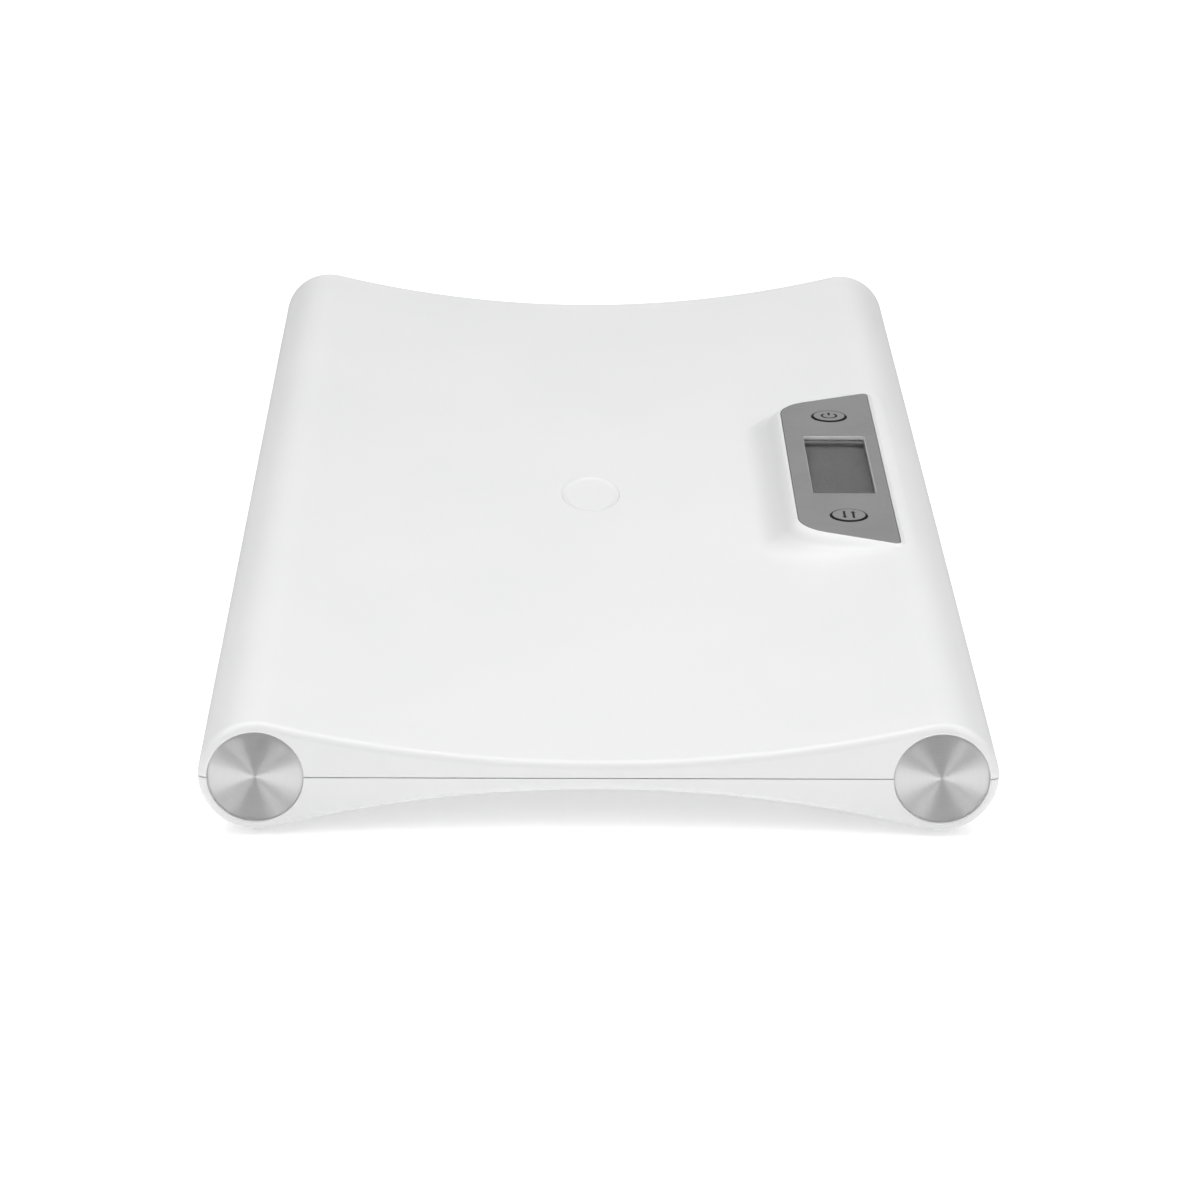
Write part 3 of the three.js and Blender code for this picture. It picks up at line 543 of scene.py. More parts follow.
def display_glass():
    """Unlit liquid crystal display: grey polariser film with a soft mottle."""
    look = Look("display_glass", grey(0.27), 0.28)
    fine = look.noise(0.3 * mm, detail=2)
    mottle = look.sum(fine, look.noise(20 * mm, detail=2))
    look.tint(mottle, dark=grey(0.29), light=grey(0.32), start=0.7, end=1.3)
    look.rough(fine, low=0.24, high=0.32)
    look.bump(fine, depth=0.002 * mm)
    return look.material


def circuit_board():
    """Green solder mask over copper tracks that stand a little proud."""
    look = Look("circuit_board", (0.02, 0.12, 0.05), 0.35)
    inputs = {"Vector": look.place, "Scale": 1 / (9 * mm), "Mortar Size": 0.035}
    tracks = look.out("TexBrick", "Fac", inputs, offset=0.35, squash=0.6, squash_frequency=3)
    look.tint(tracks, dark=(0.012, 0.09, 0.035), light=(0.03, 0.2, 0.08), start=0, end=1)
    look.rough(look.noise(2 * mm), low=0.3, high=0.42)
    look.bump(tracks, depth=0.03 * mm)
    return look.material


def moulded(name, dark, light, roughness, grain=0.35 * mm, depth=0.02 * mm):
    """Matt moulded plastic or rubber with a fine spark texture."""
    look = Look(name, light, roughness)
    texture = look.noise(grain)
    look.tint(look.noise(12 * mm), dark, light)
    look.rough(texture, low=roughness - 0.06, high=roughness + 0.06)
    look.bump(texture, depth)
    return look.material


def jacket(name, dark, light):
    return moulded(name, dark, light, 0.5, 0.5 * mm, 0.01 * mm)


def brushed(name, dark, light):
    """Bare metal with fine marks along one way and a little dulling."""
    look = Look(name, light, 0.3, Metallic=1)
    marks = look.noise(0.25 * mm, detail=4, stretch=(1, 24, 1))
    look.tint(look.noise(10 * mm), dark, light)
    look.rough(marks, low=0.23, high=0.4)
    look.bump(marks, depth=0.006 * mm)
    return look.material


BLUE_DARK = (0.03, 0.09, 0.25)
BLUE_LIGHT = (0.045, 0.13, 0.33)
LOOKS = {
    "white_plastic": white_plastic(),
    "spun_metal": spun_metal(),
    "silver_paint": silver_paint(),
    "clear_plastic": clear_plastic(),
    "display_glass": display_glass(),
    "circuit_board": circuit_board(),
    "black_plastic": moulded("black_plastic", grey(0.012), grey(0.02), 0.42),
    "carbon_rubber": moulded("carbon_rubber", grey(0.02), grey(0.035), 0.8, 0.2 * mm),
    "grey_rubber": moulded("grey_rubber", grey(0.07), grey(0.1), 0.82, 0.6 * mm, 0.05 * mm),
    "battery_wrap": moulded("battery_wrap", BLUE_DARK, BLUE_LIGHT, 0.3, 10 * mm, 0.01 * mm),
    "red_jacket": jacket("red_jacket", (0.3, 0.012, 0.01), (0.42, 0.02, 0.015)),
    "black_jacket": jacket("black_jacket", grey(0.01), grey(0.018)),
    "white_jacket": jacket("white_jacket", grey(0.6), grey(0.7)),
    "spring_metal": brushed("spring_metal", (0.55, 0.38, 0.16), (0.68, 0.5, 0.25)),
    "steel": brushed("steel", grey(0.5), grey(0.62)),
}
ICON_INK = moulded("icon_ink", grey(0.02), grey(0.03), 0.5, 0.3 * mm, 0.004 * mm)
FRAME_GREY = moulded("frame_grey", grey(0.26), grey(0.28), 0.5)
# Pale grey for the window's walls: partly the panel's bare cut edge, partly a painted highlight for the
# bright line of the lit far wall
CUT_EDGE_HIGHLIGHT = moulded("panel_cut_edge_highlight", grey(0.66), grey(0.72), 0.4, 0.3 * mm, 0.004 * mm)

# Materials, slots and bodies of finished meshes


def finish(piece, look):
    """Gives a mesh its material."""
    piece.data.materials.clear()
    piece.data.materials.append(look)


def dress(piece, look, body):
    """Gives a new mesh its material, slot, shading and body."""
    finish(piece, look)
    piece.data.polygons.foreach_set("material_index", [0] * len(piece.data.polygons))
    piece.data.shade_smooth()
    piece.data.set_sharp_from_angle(angle=SHARP_ANGLE)
    piece.modifiers.new("even_shading", "WEIGHTED_NORMAL").keep_sharp = True
    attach(piece, body)


def dressed(piece, slot, node, body="root"):
    """Dresses a mesh that takes the place of a CAD node."""
    dress(piece, LOOKS[slot], body)
    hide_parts(node)


def two_tone(piece, second, chosen):
    """Gives the faces that are chosen by their centre and normal a second material."""
    piece.data.materials.append(second)
    for face in piece.data.polygons:
        face.material_index = int(chosen(face.center, face.normal))


# The body's skin


def section(inset, tube_steps=TUBE_STEPS, hollow_steps=HOLLOW_STEPS):
    """The body's outline in X and Z: two tubes, the tray above and the arch below."""
    radius = TUBE_RADIUS - inset
    right = arc(TUBE_X, PARTING_Z, radius, LOWER - PI, PI - UPPER, tube_steps)
    tray = arc(0, TRAY_CENTRE, TRAY_ARC + inset, -UPPER, UPPER - PI, hollow_steps)
    left = arc(-TUBE_X, PARTING_Z, radius, UPPER, 2 * PI - LOWER, tube_steps)
    arch = arc(0, ARCH_CENTRE, ARCH_ARC + inset, PI - LOWER, LOWER, hollow_steps)
    return np.concatenate([right, tray[1:-1], left, arch[1:-1]])


def skin_rings():
    """Rings along the body, close together where the end edges are rounded."""
    turns = np.linspace(0, PI / 2, FILLET_STEPS + 1)
    ends = [(END_FILLET * (1 - sin(t)), HALF_LENGTH - END_FILLET * (1 - cos(t))) for t in turns]
    straight = HALF_LENGTH - END_FILLET
    count = round(2 * straight / STATION_STEP)
    between = [(0.0, y) for y in np.linspace(-straight, straight, count + 1)[1:-1]]
    order = [(inset, -y) for inset, y in ends] + between + [(inset, y) for inset, y in reversed(ends)]
    return [at_y(section(inset), y) for inset, y in order]


def hollow(inset, end_inset):
    """The body's own shape drawn in, to cut its inside or to trim what stands there."""
    outline = section(inset, INNER_STEPS, INNER_STEPS)
    reach = HALF_LENGTH - end_inset
    return loft("hollow", [at_y(outline, -reach), at_y(outline, reach)])


def tray_height(x):
    """Height of the body's upper face at distances from the centre line."""
    x = np.abs(x)
    tray = TRAY_CENTRE - np.sqrt(TRAY_ARC**2 - np.minimum(x, TRAY_EDGE) ** 2)
    tube = PARTING_Z + np.sqrt(np.maximum(TUBE_RADIUS**2 - (x - TUBE_X) ** 2, 0))
    return np.where(x < TRAY_EDGE, tray, tube)


def panel_outline(grow):
    """The panel's outline: long towards the tube's edge, short towards the tray."""
    slope = (PANEL_OUTER_HALF - PANEL_INNER_HALF) / (PANEL_OUTER_X - PANEL_INNER_X)
    inner, outer = PANEL_INNER_X - grow, PANEL_OUTER_X + grow

    def half(x):
        return PANEL_INNER_HALF + (x - PANEL_INNER_X) * slope + grow * hypot(1, slope)
    inner_corner = PANEL_INNER_CORNER + grow
    outer_corner = max(PANEL_OUTER_CORNER + grow, PANEL_OUTER_CORNER / 2)
    corners = [(inner, -half(inner), inner_corner), (outer, -half(outer), outer_corner),
               (outer, half(outer), outer_corner), (inner, half(inner), inner_corner)]
    return rounded(corners, PANEL_CORNER_STEPS)


def distance_to_panel(points):
    """Distance of points from the panel's outline in plan, negative inside it."""
    a = panel_outline(0)
    along = np.roll(a, -1, axis=0) - a
    offset = points[:, None] - a
    share = np.clip((offset * along).sum(2) / (along**2).sum(1), 0, 1)
    nearest = np.linalg.norm(offset - share[..., None] * along, axis=2).min(1)
    b = a + along
    crosses = (a[:, 1] > points[:, 1:]) != (b[:, 1] > points[:, 1:])
    rise = np.where(along[:, 1] == 0, 1, along[:, 1])
    left_of = points[:, :1] < a[:, 0] + (points[:, 1:] - a[:, 1]) * along[:, 0] / rise
    inside = (crosses & left_of).sum(1) % 2 == 1
    return np.where(inside, -nearest, nearest)


def smooth_larger(a, b, blend):
    """The larger of two heights, with a soft run from one to the other."""
    blend = np.maximum(blend, TINY)
    share = np.clip(0.5 + 0.5 * (a - b) / blend, 0, 1)
    return b + (a - b) * share + blend * share * (1 - share)


def top_height(points):
    """Height of the upper face with the island, whose foot runs softly into the tray."""
    body = tray_height(points[:, 0])
    away = distance_to_panel(points)
    slope = ISLAND_TOP - (away - ISLAND_BORDER) / ISLAND_SLOPE_SHARE
    island = -smooth_larger(np.full(len(points), -ISLAND_TOP), -slope, SHOULDER)
    island = np.where(away < 0, ISLAND_TOP, np.minimum(island, ISLAND_TOP))
    rise = np.clip((away - FOOT_BLEND_FROM) / FOOT_BLEND_OVER, 0, 1)
    return smooth_larger(island, body, FOOT_BLEND * rise * rise * (3 - 2 * rise))


def spaced(loop, step):
    """A closed loop's points with long stretches divided."""
    points = []
    for a, b in zip(loop, np.roll(loop, -1, axis=0)):
        count = max(1, ceil(np.linalg.norm(b - a) / step))
        points += [a + (b - a) * i / count for i in range(count)]
    return np.array(points)


# The field that the island rises from, and rings of points round the panel, by distance in mm
FIELD_X = (62 * mm, 139 * mm)
FIELD_Y = 126 * mm
CLOSE_RINGS = [-1.2, 0.1, 0.5, 0.8, 1.1, 1.4, 1.8, 2.3, 3.0, 3.8]
WIDE_RINGS = [4.8, 5.8, 6.8, 7.8, 8.8, 9.8, 10.8, 12.0, 13.4, 15.0]
CREST_SIDE_X = 124 * mm
RING_STEP = 1.4 * mm
ROW_STEP = 2 * mm


def island_field(rings, first, last, near, far):
    """Points and triangles of the upper face between two outline places and two rings."""
    xs = rings[near][first:last + 1, 0]
    ys = np.array([rings[r][0, 1] for r in range(near, far + 1)])
    border = [(x, ys[0]) for x in xs] + [(xs[-1], y) for y in ys[1:]]
    border += [(x, ys[-1]) for x in xs[::-1][1:]] + [(xs[0], y) for y in ys[::-1][1:-1]]
    points = [np.array(border)]
    loops = [range(len(border))]
    count = len(border)
    for grow in CLOSE_RINGS:
        loop = spaced(panel_outline(grow * mm), RING_STEP)
        points.append(loop)
        loops.append(range(count, count + len(loop)))
        count += len(loop)
    margin = RING_STEP / 2
    for grow in WIDE_RINGS:
        loop = spaced(panel_outline(grow * mm), RING_STEP)
        points.append(loop[(loop[:, 0] < CREST_SIDE_X) & (loop[:, 0] > xs[-1] + margin)])
    rows = np.arange(ys[0] + ROW_STEP, ys[-1] - ROW_STEP / 2, ROW_STEP)
    grid = np.array([(x, y) for x in xs[1:-1] for y in rows])
    away = distance_to_panel(grid)
    reach = np.where(grid[:, 0] < CREST_SIDE_X, WIDE_RINGS[-1], CLOSE_RINGS[-1]) * mm
    points.append(grid[away > reach + margin])
    flat = np.concatenate(points)
    edges = [(loop[i - 1], loop[i]) for loop in loops for i in range(len(loop))]
    made = delaunay_2d_cdt([Vector(p) for p in flat], edges, [], 0, PLAN_TOLERANCE)
    plan = np.array([tuple(v) for v in made[0]])
    return np.column_stack([plan, top_height(plan)]), made[2]


def close_seam(bm):
    """Sews the island's field into the skin, which is then closed."""
    bmesh.ops.remove_doubles(bm, verts=bm.verts, dist=SEAM_WELD)
    bmesh.ops.delete(bm, geom=[v for v in bm.verts if not v.link_faces], context="VERTS")
    turn_outwards(bm)
    if any(len(edge.link_faces) != 2 for edge in bm.edges):
        raise RuntimeError("the skin has open edges")


def skin_with_island():
    """The whole body as one closed skin, with the island raised on its right-hand tube."""
    rings = skin_rings()
    count = len(rings[0])
    outline = section(0)
    upper = np.arange(count)[(outline[:, 1] > PARTING_Z + TRAY_RISE / 2) & (outline[:, 0] > 0)]
    first = min(upper, key=lambda i: abs(outline[i, 0] - FIELD_X[1]))
    last = min(upper, key=lambda i: abs(outline[i, 0] - FIELD_X[0]))
    places = np.array([ring[0, 1] for ring in rings])
    near = int(np.argmin(abs(places + FIELD_Y)))
    far = int(np.argmin(abs(places - FIELD_Y)))
    faces = [tuple(range(count)), tuple(range((len(rings) - 1) * count, len(rings) * count))]
    for r in range(len(rings) - 1):
        for i in range(count):
            if near <= r < far and first <= i < last:
                continue
            a, j = r * count, (i + 1) % count
            faces.append((a + i, a + j, a + count + j, a + count + i))
    points, triangles = island_field(rings, first, last, near, far)
    start = len(rings) * count
    faces += [tuple(start + v for v in triangle) for triangle in triangles]
    return edited(solid("top_shell_moulded", np.concatenate([*rings, points]), faces), close_seam)


# A reach that is past all of the body
PAST = 1


def slab(z0, z1):
    """A slab that reaches far past the body's sides."""
    return pillar("slab", 0, 0, PAST, PAST, z0, z1)


def disc_pockets():
    """Round seats for the metal discs, with softly rounded mouths."""
    depth = DISC_RECESS + DISC_THICKNESS + FIT
    levels = [(0, -depth)] + flare(SOFT_EDGE, 0)
    outline = circle_outline(0, 0, DISC_RADIUS + SNUG, DISC_STEPS)
    return [moved(stack("pocket", outline, levels), along_y(y, x * TUBE_X, y * HALF_LENGTH, PARTING_Z))
            for _, x, y in CORNERS]


# Bosses, ribs and the places of what repeats

CASE_SCREWS = [f"case_screw_{side}_{i}" for side in ("left", "right") for i in (1, 2, 3, 4)]
BOARD_SCREWS = [f"board_screw_{corner[0]}" for corner in CORNERS]
SCREW_SHANK = 1.6 * mm
SCREW_HEAD = half_size("case_screw_right_1").x
SCREW_HEAD_HEIGHT = 2.2 * mm
SCREW_SEAT_Z = SCREW_LOW.z + SCREW_HEAD_HEIGHT + FIT
BOSS_WALL = 2.6 * mm
POST_RADIUS = 2.6 * mm
POST_HOLE = 1.4 * mm
LOAD_RIB_THICKNESS = 2 * mm
LOAD_RIB_WIDTH = 18 * mm


def cross_ribs(z0, z1):
    places = [-HALF_LENGTH + RIB_PITCH * (i + 1) for i in range(RIB_COUNT)]
    return [pillar("rib", 0, y, RIB_REACH, RIB_THICKNESS / 2, z0, z1) for y in places]


def load_ribs():
    """Ribs that press on the ends of each load cell."""
    reach = CELL_HALF_Y - LOAD_RIB_THICKNESS
    return [pillar("load_rib", x * TUBE_X, y * FOOT_Y + end * reach, LOAD_RIB_WIDTH / 2,
                   LOAD_RIB_THICKNESS / 2, CELL_HIGH.z + FIT, CREST_Z)
            for _, x, y in CORNERS for end in (-1, 1)]


def gathered(tools, trim):
    """Inner ribs and bosses joined into one solid and trimmed to the middle of the wall."""
    return common(join(tools[0], *tools[1:]), trim)


def island_hollow():
    """The space in the island, one wall in from its slopes and under its deck."""
    across = WALL * hypot(1, ISLAND_SLOPE_SHARE)
    grow = ISLAND_BORDER + (ISLAND_TOP - DECK_UNDER) * ISLAND_SLOPE_SHARE - across
    foot = float(tray_height(np.array([PANEL_INNER_X]))[0]) - 2 * WALL
    return stack("island_hollow", panel_outline,
                 [(grow + (DECK_UNDER - foot) * ISLAND_SLOPE_SHARE, foot), (grow, DECK_UNDER)])


def window(wider=0, corner=WINDOW_CORNER):
    """The window's outline, or a wider one about the same middle."""
    return rounded_box(WINDOW_X, 0, WINDOW_HALF_X + wider, WINDOW_HALF_Y + wider, corner)


def deck_cuts():
    """The panel's recess, the window, the lens seat and the key holes."""
    collar = window(FRAME_COLLAR + FIT, WINDOW_CORNER + FRAME_COLLAR)
    seat = window(LENS_BORDER + FIT)
    return [
        stack("recess", panel_outline, [(0, DECK_TOP)] + flare(PANEL_EDGE, ISLAND_TOP)),
        stack("opening", collar, [(0, DECK_UNDER - OVERRUN), (0, DECK_TOP + OVERRUN)]),
        stack("lens_seat", seat, [(0, LENS_LOW.z - FIT), (0, DECK_TOP + OVERRUN)]),
        *[rod("key_hole", KEY_RADIUS + KEY_GAP, KEY_X, y, DECK_UNDER - OVERRUN, DECK_TOP + OVERRUN, FINE)
          for y in (KEY_Y, -KEY_Y)],
    ]


def badge_recess():
    outline = oval_outline(BADGE_Y, BADGE_HALF_X + SNUG, BADGE_HALF_Y + SNUG)
    return stack("badge_recess", outline, [(0, BADGE_LOW.z - FIT)] + flare(BADGE_EDGE, BADGE_HIGH.z))


def top_shell():
    shell = common(skin_with_island(), slab(UPPER_FROM, PAST))
    cut(shell, hollow(WALL, END_WALL), island_hollow())
    bosses = rods("boss", CASE_SCREWS, SCREW_SHANK + BOSS_WALL, UPPER_FROM, CREST_Z)
    inside = gathered([*bosses, *load_ribs(), *cross_ribs(PARTING_Z + RIB_GAP / 2, CREST_Z)],
                      hollow(WALL / 2, END_WALL / 2))
    posts = rods("post", BOARD_SCREWS, POST_RADIUS, BOARD_HIGH.z + FIT, (DECK_UNDER + DECK_TOP) / 2)
    join(shell, inside, *posts)
    pilots = rods("pilot", CASE_SCREWS, SCREW_SHANK + FIT, PARTING_Z, SCREW_HIGH.z + OVERRUN)
    for name in BOARD_SCREWS:
        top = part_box(name)[1].z + OVERRUN
        pilots.append(rod("post_pilot", POST_HOLE, *middle(name).xy, BOARD_HIGH.z, top, COARSE))
    cut(shell, *deck_cuts(), badge_recess(), *disc_pockets(), *pilots)
    dressed(edited(shell, weld), "white_plastic", "top_shell")


# The lower shell: feet, battery box and screw holes

SEAT_RADIUS = half_size("load_cell_front_right").x - FIT
SEAT_WALL = 2.4 * mm
SEAT_FLOOR = 2.5 * mm
GUIDE_THICKNESS = 1.6 * mm
CUP_RADIUS = half_size("foot_cup_front_right").x
CUP_CLEARANCE = 0.8 * mm
CUP_TOP = 4.2 * mm
FOOT_CEILING = CUP_TOP + CUP_CLEARANCE
FOOT_FLOOR_TOP = FOOT_CEILING + SEAT_FLOOR
STEM_RADIUS = 4 * mm
STEM_LIP = 1 * mm

BATTERY_RADIUS = half_size("battery_1").x
BATTERY_Z = middle("battery_1").z
BATTERY_OFFSET = middle("battery_4").x - TUBE_X
BOX_WALL = 2.2 * mm
BOX_HALF_X = BATTERY_OFFSET + BATTERY_RADIUS + FIT
BOX_HALF_Y = TAIL_HIGH.y + FIT
BOX_CEILING = BATTERY_Z + BATTERY_RADIUS + FIT
DOOR_HALF_X = half_size("battery_door").x
DOOR_HALF_Y = DOOR_HIGH.y
DOOR_GAP = 0.5 * mm
DOOR_THICKNESS = 1.8 * mm
TAB_HALF = 4 * mm
TAB_LENGTH = -DOOR_HALF_Y - DOOR_LOW.y
TAB_THICKNESS = 1.2 * mm
TAB_ROOT = 1.6 * mm
TAB_BOTTOM = PARTING_Z - sqrt((TUBE_RADIUS - WALL) ** 2 - TAB_HALF**2) + FIT
TAB_SWING = hypot(TAB_LENGTH, TAB_BOTTOM + TAB_THICKNESS - SHELL_LOW.z)
TAIL_WIDTH = 4 * mm
CONTACT_THICKNESS = 0.5 * mm
NOTCH_RADIUS = 5 * mm
NOTCH_DEPTH = 1.2 * mm
SLIT_WIDTH = 0.6 * mm
SLIT_LENGTH = 9 * mm
GRIP_COUNT = 5
GRIP_HALF = NOTCH_RADIUS - 1.5 * SLIT_WIDTH
GRIP_PITCH = 1.5 * mm
GRIP_DEPTH = 0.35 * mm


def foot_seat(x, y):
    """A round well round each foot's stem, with guides at the load cell's ends."""
    reach = CELL_HALF_Y + FIT + GUIDE_THICKNESS / 2
    guides = [pillar("guide", x, y + end * reach, SEAT_RADIUS / 2, GUIDE_THICKNESS / 2,
                     SHELL_LOW.z, CELL_HIGH.z) for end in (-1, 1)]
    return [rod("seat", SEAT_RADIUS, x, y, SHELL_LOW.z, CELL_LOW.z - FIT, FINE), *guides]


def foot_cuts(x, y):
    return [
        rod("foot_well", CUP_RADIUS + CUP_CLEARANCE, x, y, -OVERRUN, FOOT_CEILING, FINE),
        rod("stem_hole", STEM_RADIUS + 2 * FIT, x, y, 0, FOOT_FLOOR_TOP + OVERRUN),
        rod("seat_well", SEAT_RADIUS - SEAT_WALL, x, y, FOOT_FLOOR_TOP, CELL_LOW.z + OVERRUN, FINE),
    ]


def door_space():
    """The outer skin of the tube's underside that the door fills."""
    column = pillar("door_space", TUBE_X, 0, DOOR_HALF_X + DOOR_GAP, DOOR_HALF_Y + DOOR_GAP,
                    -OVERRUN, PARTING_Z)
    return cut(column, rod_along_y("core", TUBE_RADIUS - DOOR_THICKNESS - FIT, TUBE_X, HALF_LENGTH))


def battery_box():
    return pillar("battery_box", TUBE_X, 0, BOX_HALF_X + BOX_WALL, BOX_HALF_Y + BOX_WALL,
                  SHELL_LOW.z, BOX_CEILING + BOX_WALL)


def battery_box_cuts():
    """The space for the cells, the door's and its tab's, the thumb notch and the tails' slots."""
    across = (TUBE_X - TAB_HALF - FIT, TUBE_X + TAB_HALF + FIT)
    notch_top = SHELL_LOW.z + TAB_SWING + FIT
    slot_y = CONTACT_THICKNESS / 2 + FIT
    tails = [pillar("tail_slot", TUBE_X + side * BATTERY_OFFSET, BOX_HALF_Y - slot_y, TAIL_WIDTH / 2 + FIT,
                    slot_y, BOX_CEILING - OVERRUN, BOX_CEILING + BOX_WALL + OVERRUN) for side in (-1, 1)]
    return [
        pillar("box_space", TUBE_X, 0, BOX_HALF_X, BOX_HALF_Y, 0, BOX_CEILING),
        door_space(),
        block("tab_gate", *across, -DOOR_HALF_Y - DOOR_GAP, -BOX_HALF_Y + OVERRUN, 0, notch_top),
        block("tab_pocket", *across, -BOX_HALF_Y - BOX_WALL - OVERRUN, -BOX_HALF_Y + OVERRUN,
              TAB_BOTTOM - FIT, notch_top),
        rod("thumb_notch", NOTCH_RADIUS, TUBE_X, DOOR_HALF_Y + DOOR_GAP, 0, SHELL_LOW.z + NOTCH_DEPTH, FINE),
        *tails,
    ]


def over_arch():
    """The space over the arch, where the lip that runs round the edge has no part."""
    reach = HALF_LENGTH - END_WALL - FIT - LIP_THICKNESS - OVERRUN
    return pillar("over_arch", 0, 0, RIB_REACH, reach, 0, CREST_Z)


def lip_ring(inset, end_inset, top):
    """A ring inside the case from the lip's root to a height."""
    ring = common(hollow(inset, end_inset), slab(PARTING_Z - LIP_ROOT, top))
    inner = FIT + LIP_THICKNESS
    return cut(ring, hollow(WALL + inner, END_WALL + inner), over_arch())


def bottom_shell():
    shell = common(loft("bottom_shell_moulded", skin_rings()), slab(-PAST, LOWER_TO))
    cut(shell, hollow(WALL, END_WALL))
    root = lip_ring(WALL / 2, END_WALL / 2, LOWER_TO)
    bosses = rods("boss", CASE_SCREWS, SCREW_HEAD + FIT + BOSS_WALL, 0, LOWER_TO)
    feet = [(x * TUBE_X, y * FOOT_Y) for _, x, y in CORNERS]
    seats = [part for x, y in feet for part in foot_seat(x, y)]
    inside = gathered([battery_box(), *bosses, *seats, *cross_ribs(0, PARTING_Z - RIB_GAP / 2)],
                      hollow(WALL / 2, END_WALL / 2))
    join(shell, root, inside)
    holes = rods("screw_hole", CASE_SCREWS, SCREW_SHANK + FIT, 0, PARTING_Z)
    holes += rods("head_hole", CASE_SCREWS, SCREW_HEAD + FIT, 0, SCREW_SEAT_Z)
    cut(shell, *disc_pockets(), *battery_box_cuts(), *holes,
        *[tool for x, y in feet for tool in foot_cuts(x, y)])
    join(shell, lip_ring(WALL + FIT, END_WALL + FIT, PARTING_Z + LIP_HEIGHT))
    dressed(edited(shell, weld), "white_plastic", "bottom_shell")


# Trim

DOME_DROP = 0.25 * mm
DOME_POWER = 4
DOME_FROM = 0.04
DOME_STEPS = 32
DISC_BEVEL = 0.5 * mm
DISC_BEVEL_DROP = 0.2 * mm
BADGE_DISH_WIDTH = 2.4 * mm
BADGE_DISH_DEPTH = 0.42 * mm
BADGE_DISH_STEPS = 8
BADGE_FLOOR_SHARE = 0.9
BADGE_RINGS = 5


def end_disc(corner, x, y):
    """A spun metal disc, domed a little, about its own centre so that its rings follow it."""
    rim = DISC_RADIUS - DISC_BEVEL
    dome = [(rim * share, DISC_THICKNESS - DOME_DROP * share**DOME_POWER)
            for share in np.linspace(1, DOME_FROM, DOME_STEPS)]
    low_rim = DISC_THICKNESS - DOME_DROP - DISC_BEVEL_DROP
    profile = [(0, 0), (DISC_RADIUS, 0), (DISC_RADIUS, low_rim), *dome, (0, DISC_THICKNESS)]
    disc = lathe(f"end_disc_{corner}_spun", profile, DISC_STEPS)
    back = HALF_LENGTH - DISC_RECESS - DISC_THICKNESS
    disc.matrix_world = along_y(y, x * TUBE_X, y * back, PARTING_Z)
    dressed(disc, "spun_metal", f"end_disc_{corner}")


def follow_tray(piece):
    """Bends a flat piece to the tray's slight curve."""
    low = float(tray_height(np.array([0.0]))[0])
    for vertex in piece.data.vertices:
        vertex.co.z += float(tray_height(np.array([vertex.co.x]))[0]) - low


def badge():
    """A bare oval plate, dished softly inside its rim."""
    outline = oval_outline(BADGE_Y, BADGE_HALF_X, BADGE_HALF_Y)
    top = BADGE_HIGH.z
    levels = [(0, BADGE_LOW.z), *round_over(BADGE_EDGE, top)]
    for share in np.linspace(0, 1, BADGE_DISH_STEPS + 1)[1:]:
        levels.append((-BADGE_EDGE - BADGE_DISH_WIDTH * share,
                       top - BADGE_DISH_DEPTH * (1 - cos(PI * share)) / 2))
    dish_edge, floor_z = levels[-1]
    for inner in np.linspace(dish_edge, -BADGE_FLOOR_SHARE * BADGE_HALF_X, BADGE_RINGS)[1:]:
        levels.append((inner, floor_z))
    plate = stack("badge_plate", outline, levels)
    follow_tray(plate)
    dressed(plate, "white_plastic", "badge")


# Display and keys

# A face counts as steep when its normal rises less than this
STEEP = 0.9


def display_panel():
    """The silver panel, with rounded edges, and a window whose edge is turned down to the lens. The window's
    walls are pale: partly bare cut edge, partly a painted highlight.
    """
    panel = stack("display_panel_plate", panel_outline,
                  [(-FIT, PANEL_LOW.z)] + [(g - FIT, z) for g, z in round_over(PANEL_EDGE, PANEL_HIGH.z)])
    join(panel, prism("window_rim", window()(WINDOW_RIM), LENS_HIGH.z + SNUG, PANEL_LOW.z + SNUG))
    levels = [(0, PANEL_LOW.z - OVERRUN)] + flare(PANEL_EDGE, PANEL_HIGH.z)
    holes = [stack("window", window(), levels)]
    holes += [stack("key_hole", circle_outline(KEY_X, y, KEY_RADIUS + KEY_GAP), levels)
              for y in (KEY_Y, -KEY_Y)]
    dressed(cut(panel, *holes), "silver_paint", "display_panel")
    reach_x, reach_y = WINDOW_HALF_X + OVERRUN, WINDOW_HALF_Y + OVERRUN
    # The window's steep walls take the pale cut-edge material: partly bare metal, partly a painted highlight
    two_tone(panel, CUT_EDGE_HIGHLIGHT, lambda centre, normal: (
        abs(normal.z) < STEEP and abs(centre.x - WINDOW_X) < reach_x and abs(centre.y) < reach_y))


def ring_stroke(radius, stroke, gap, steps=SMOOTH):
    """A ring of one stroke width, open at its far side."""
    start, end = PI / 2 + gap, PI / 2 + 2 * PI - gap
    outer = arc(0, 0, radius + stroke / 2, start, end, steps)
    inner = arc(0, 0, radius - stroke / 2, end, start, steps)
    return np.concatenate([outer, inner])


def bar(x, y0, y1, stroke):
    half = stroke / 2
    return np.array([(x - half, y0), (x + half, y0), (x + half, y1), (x - half, y1)])


def arrow(half, head, stroke, way):
    """An arrow along Y that points one way."""
    neck = half - head * ARROW_HEAD_LENGTH_SHARE
    points = [(-stroke / 2, -half), (stroke / 2, -half), (stroke / 2, neck), (head, neck),
              (0, half), (-head, neck), (-stroke / 2, neck)]
    return np.array(points)[::way] * (1, way)


def power_icon(grow):
    stroke = ICON_STROKE + 2 * grow
    bar_top = POWER_RADIUS + ICON_STROKE + grow
    return [ring_stroke(POWER_RADIUS, stroke, POWER_GAP - grow / POWER_RADIUS),
            bar(0, POWER_RADIUS * POWER_BAR_SHARE - grow, bar_top, stroke)]


def unit_icon(grow):
    stroke = ICON_STROKE + 2 * grow
    return [arrow(ARROW_HALF + grow, ARROW_HEAD + grow, stroke, way) + (way * ARROW_SPACING, 0)
            for way in (1, -1)]


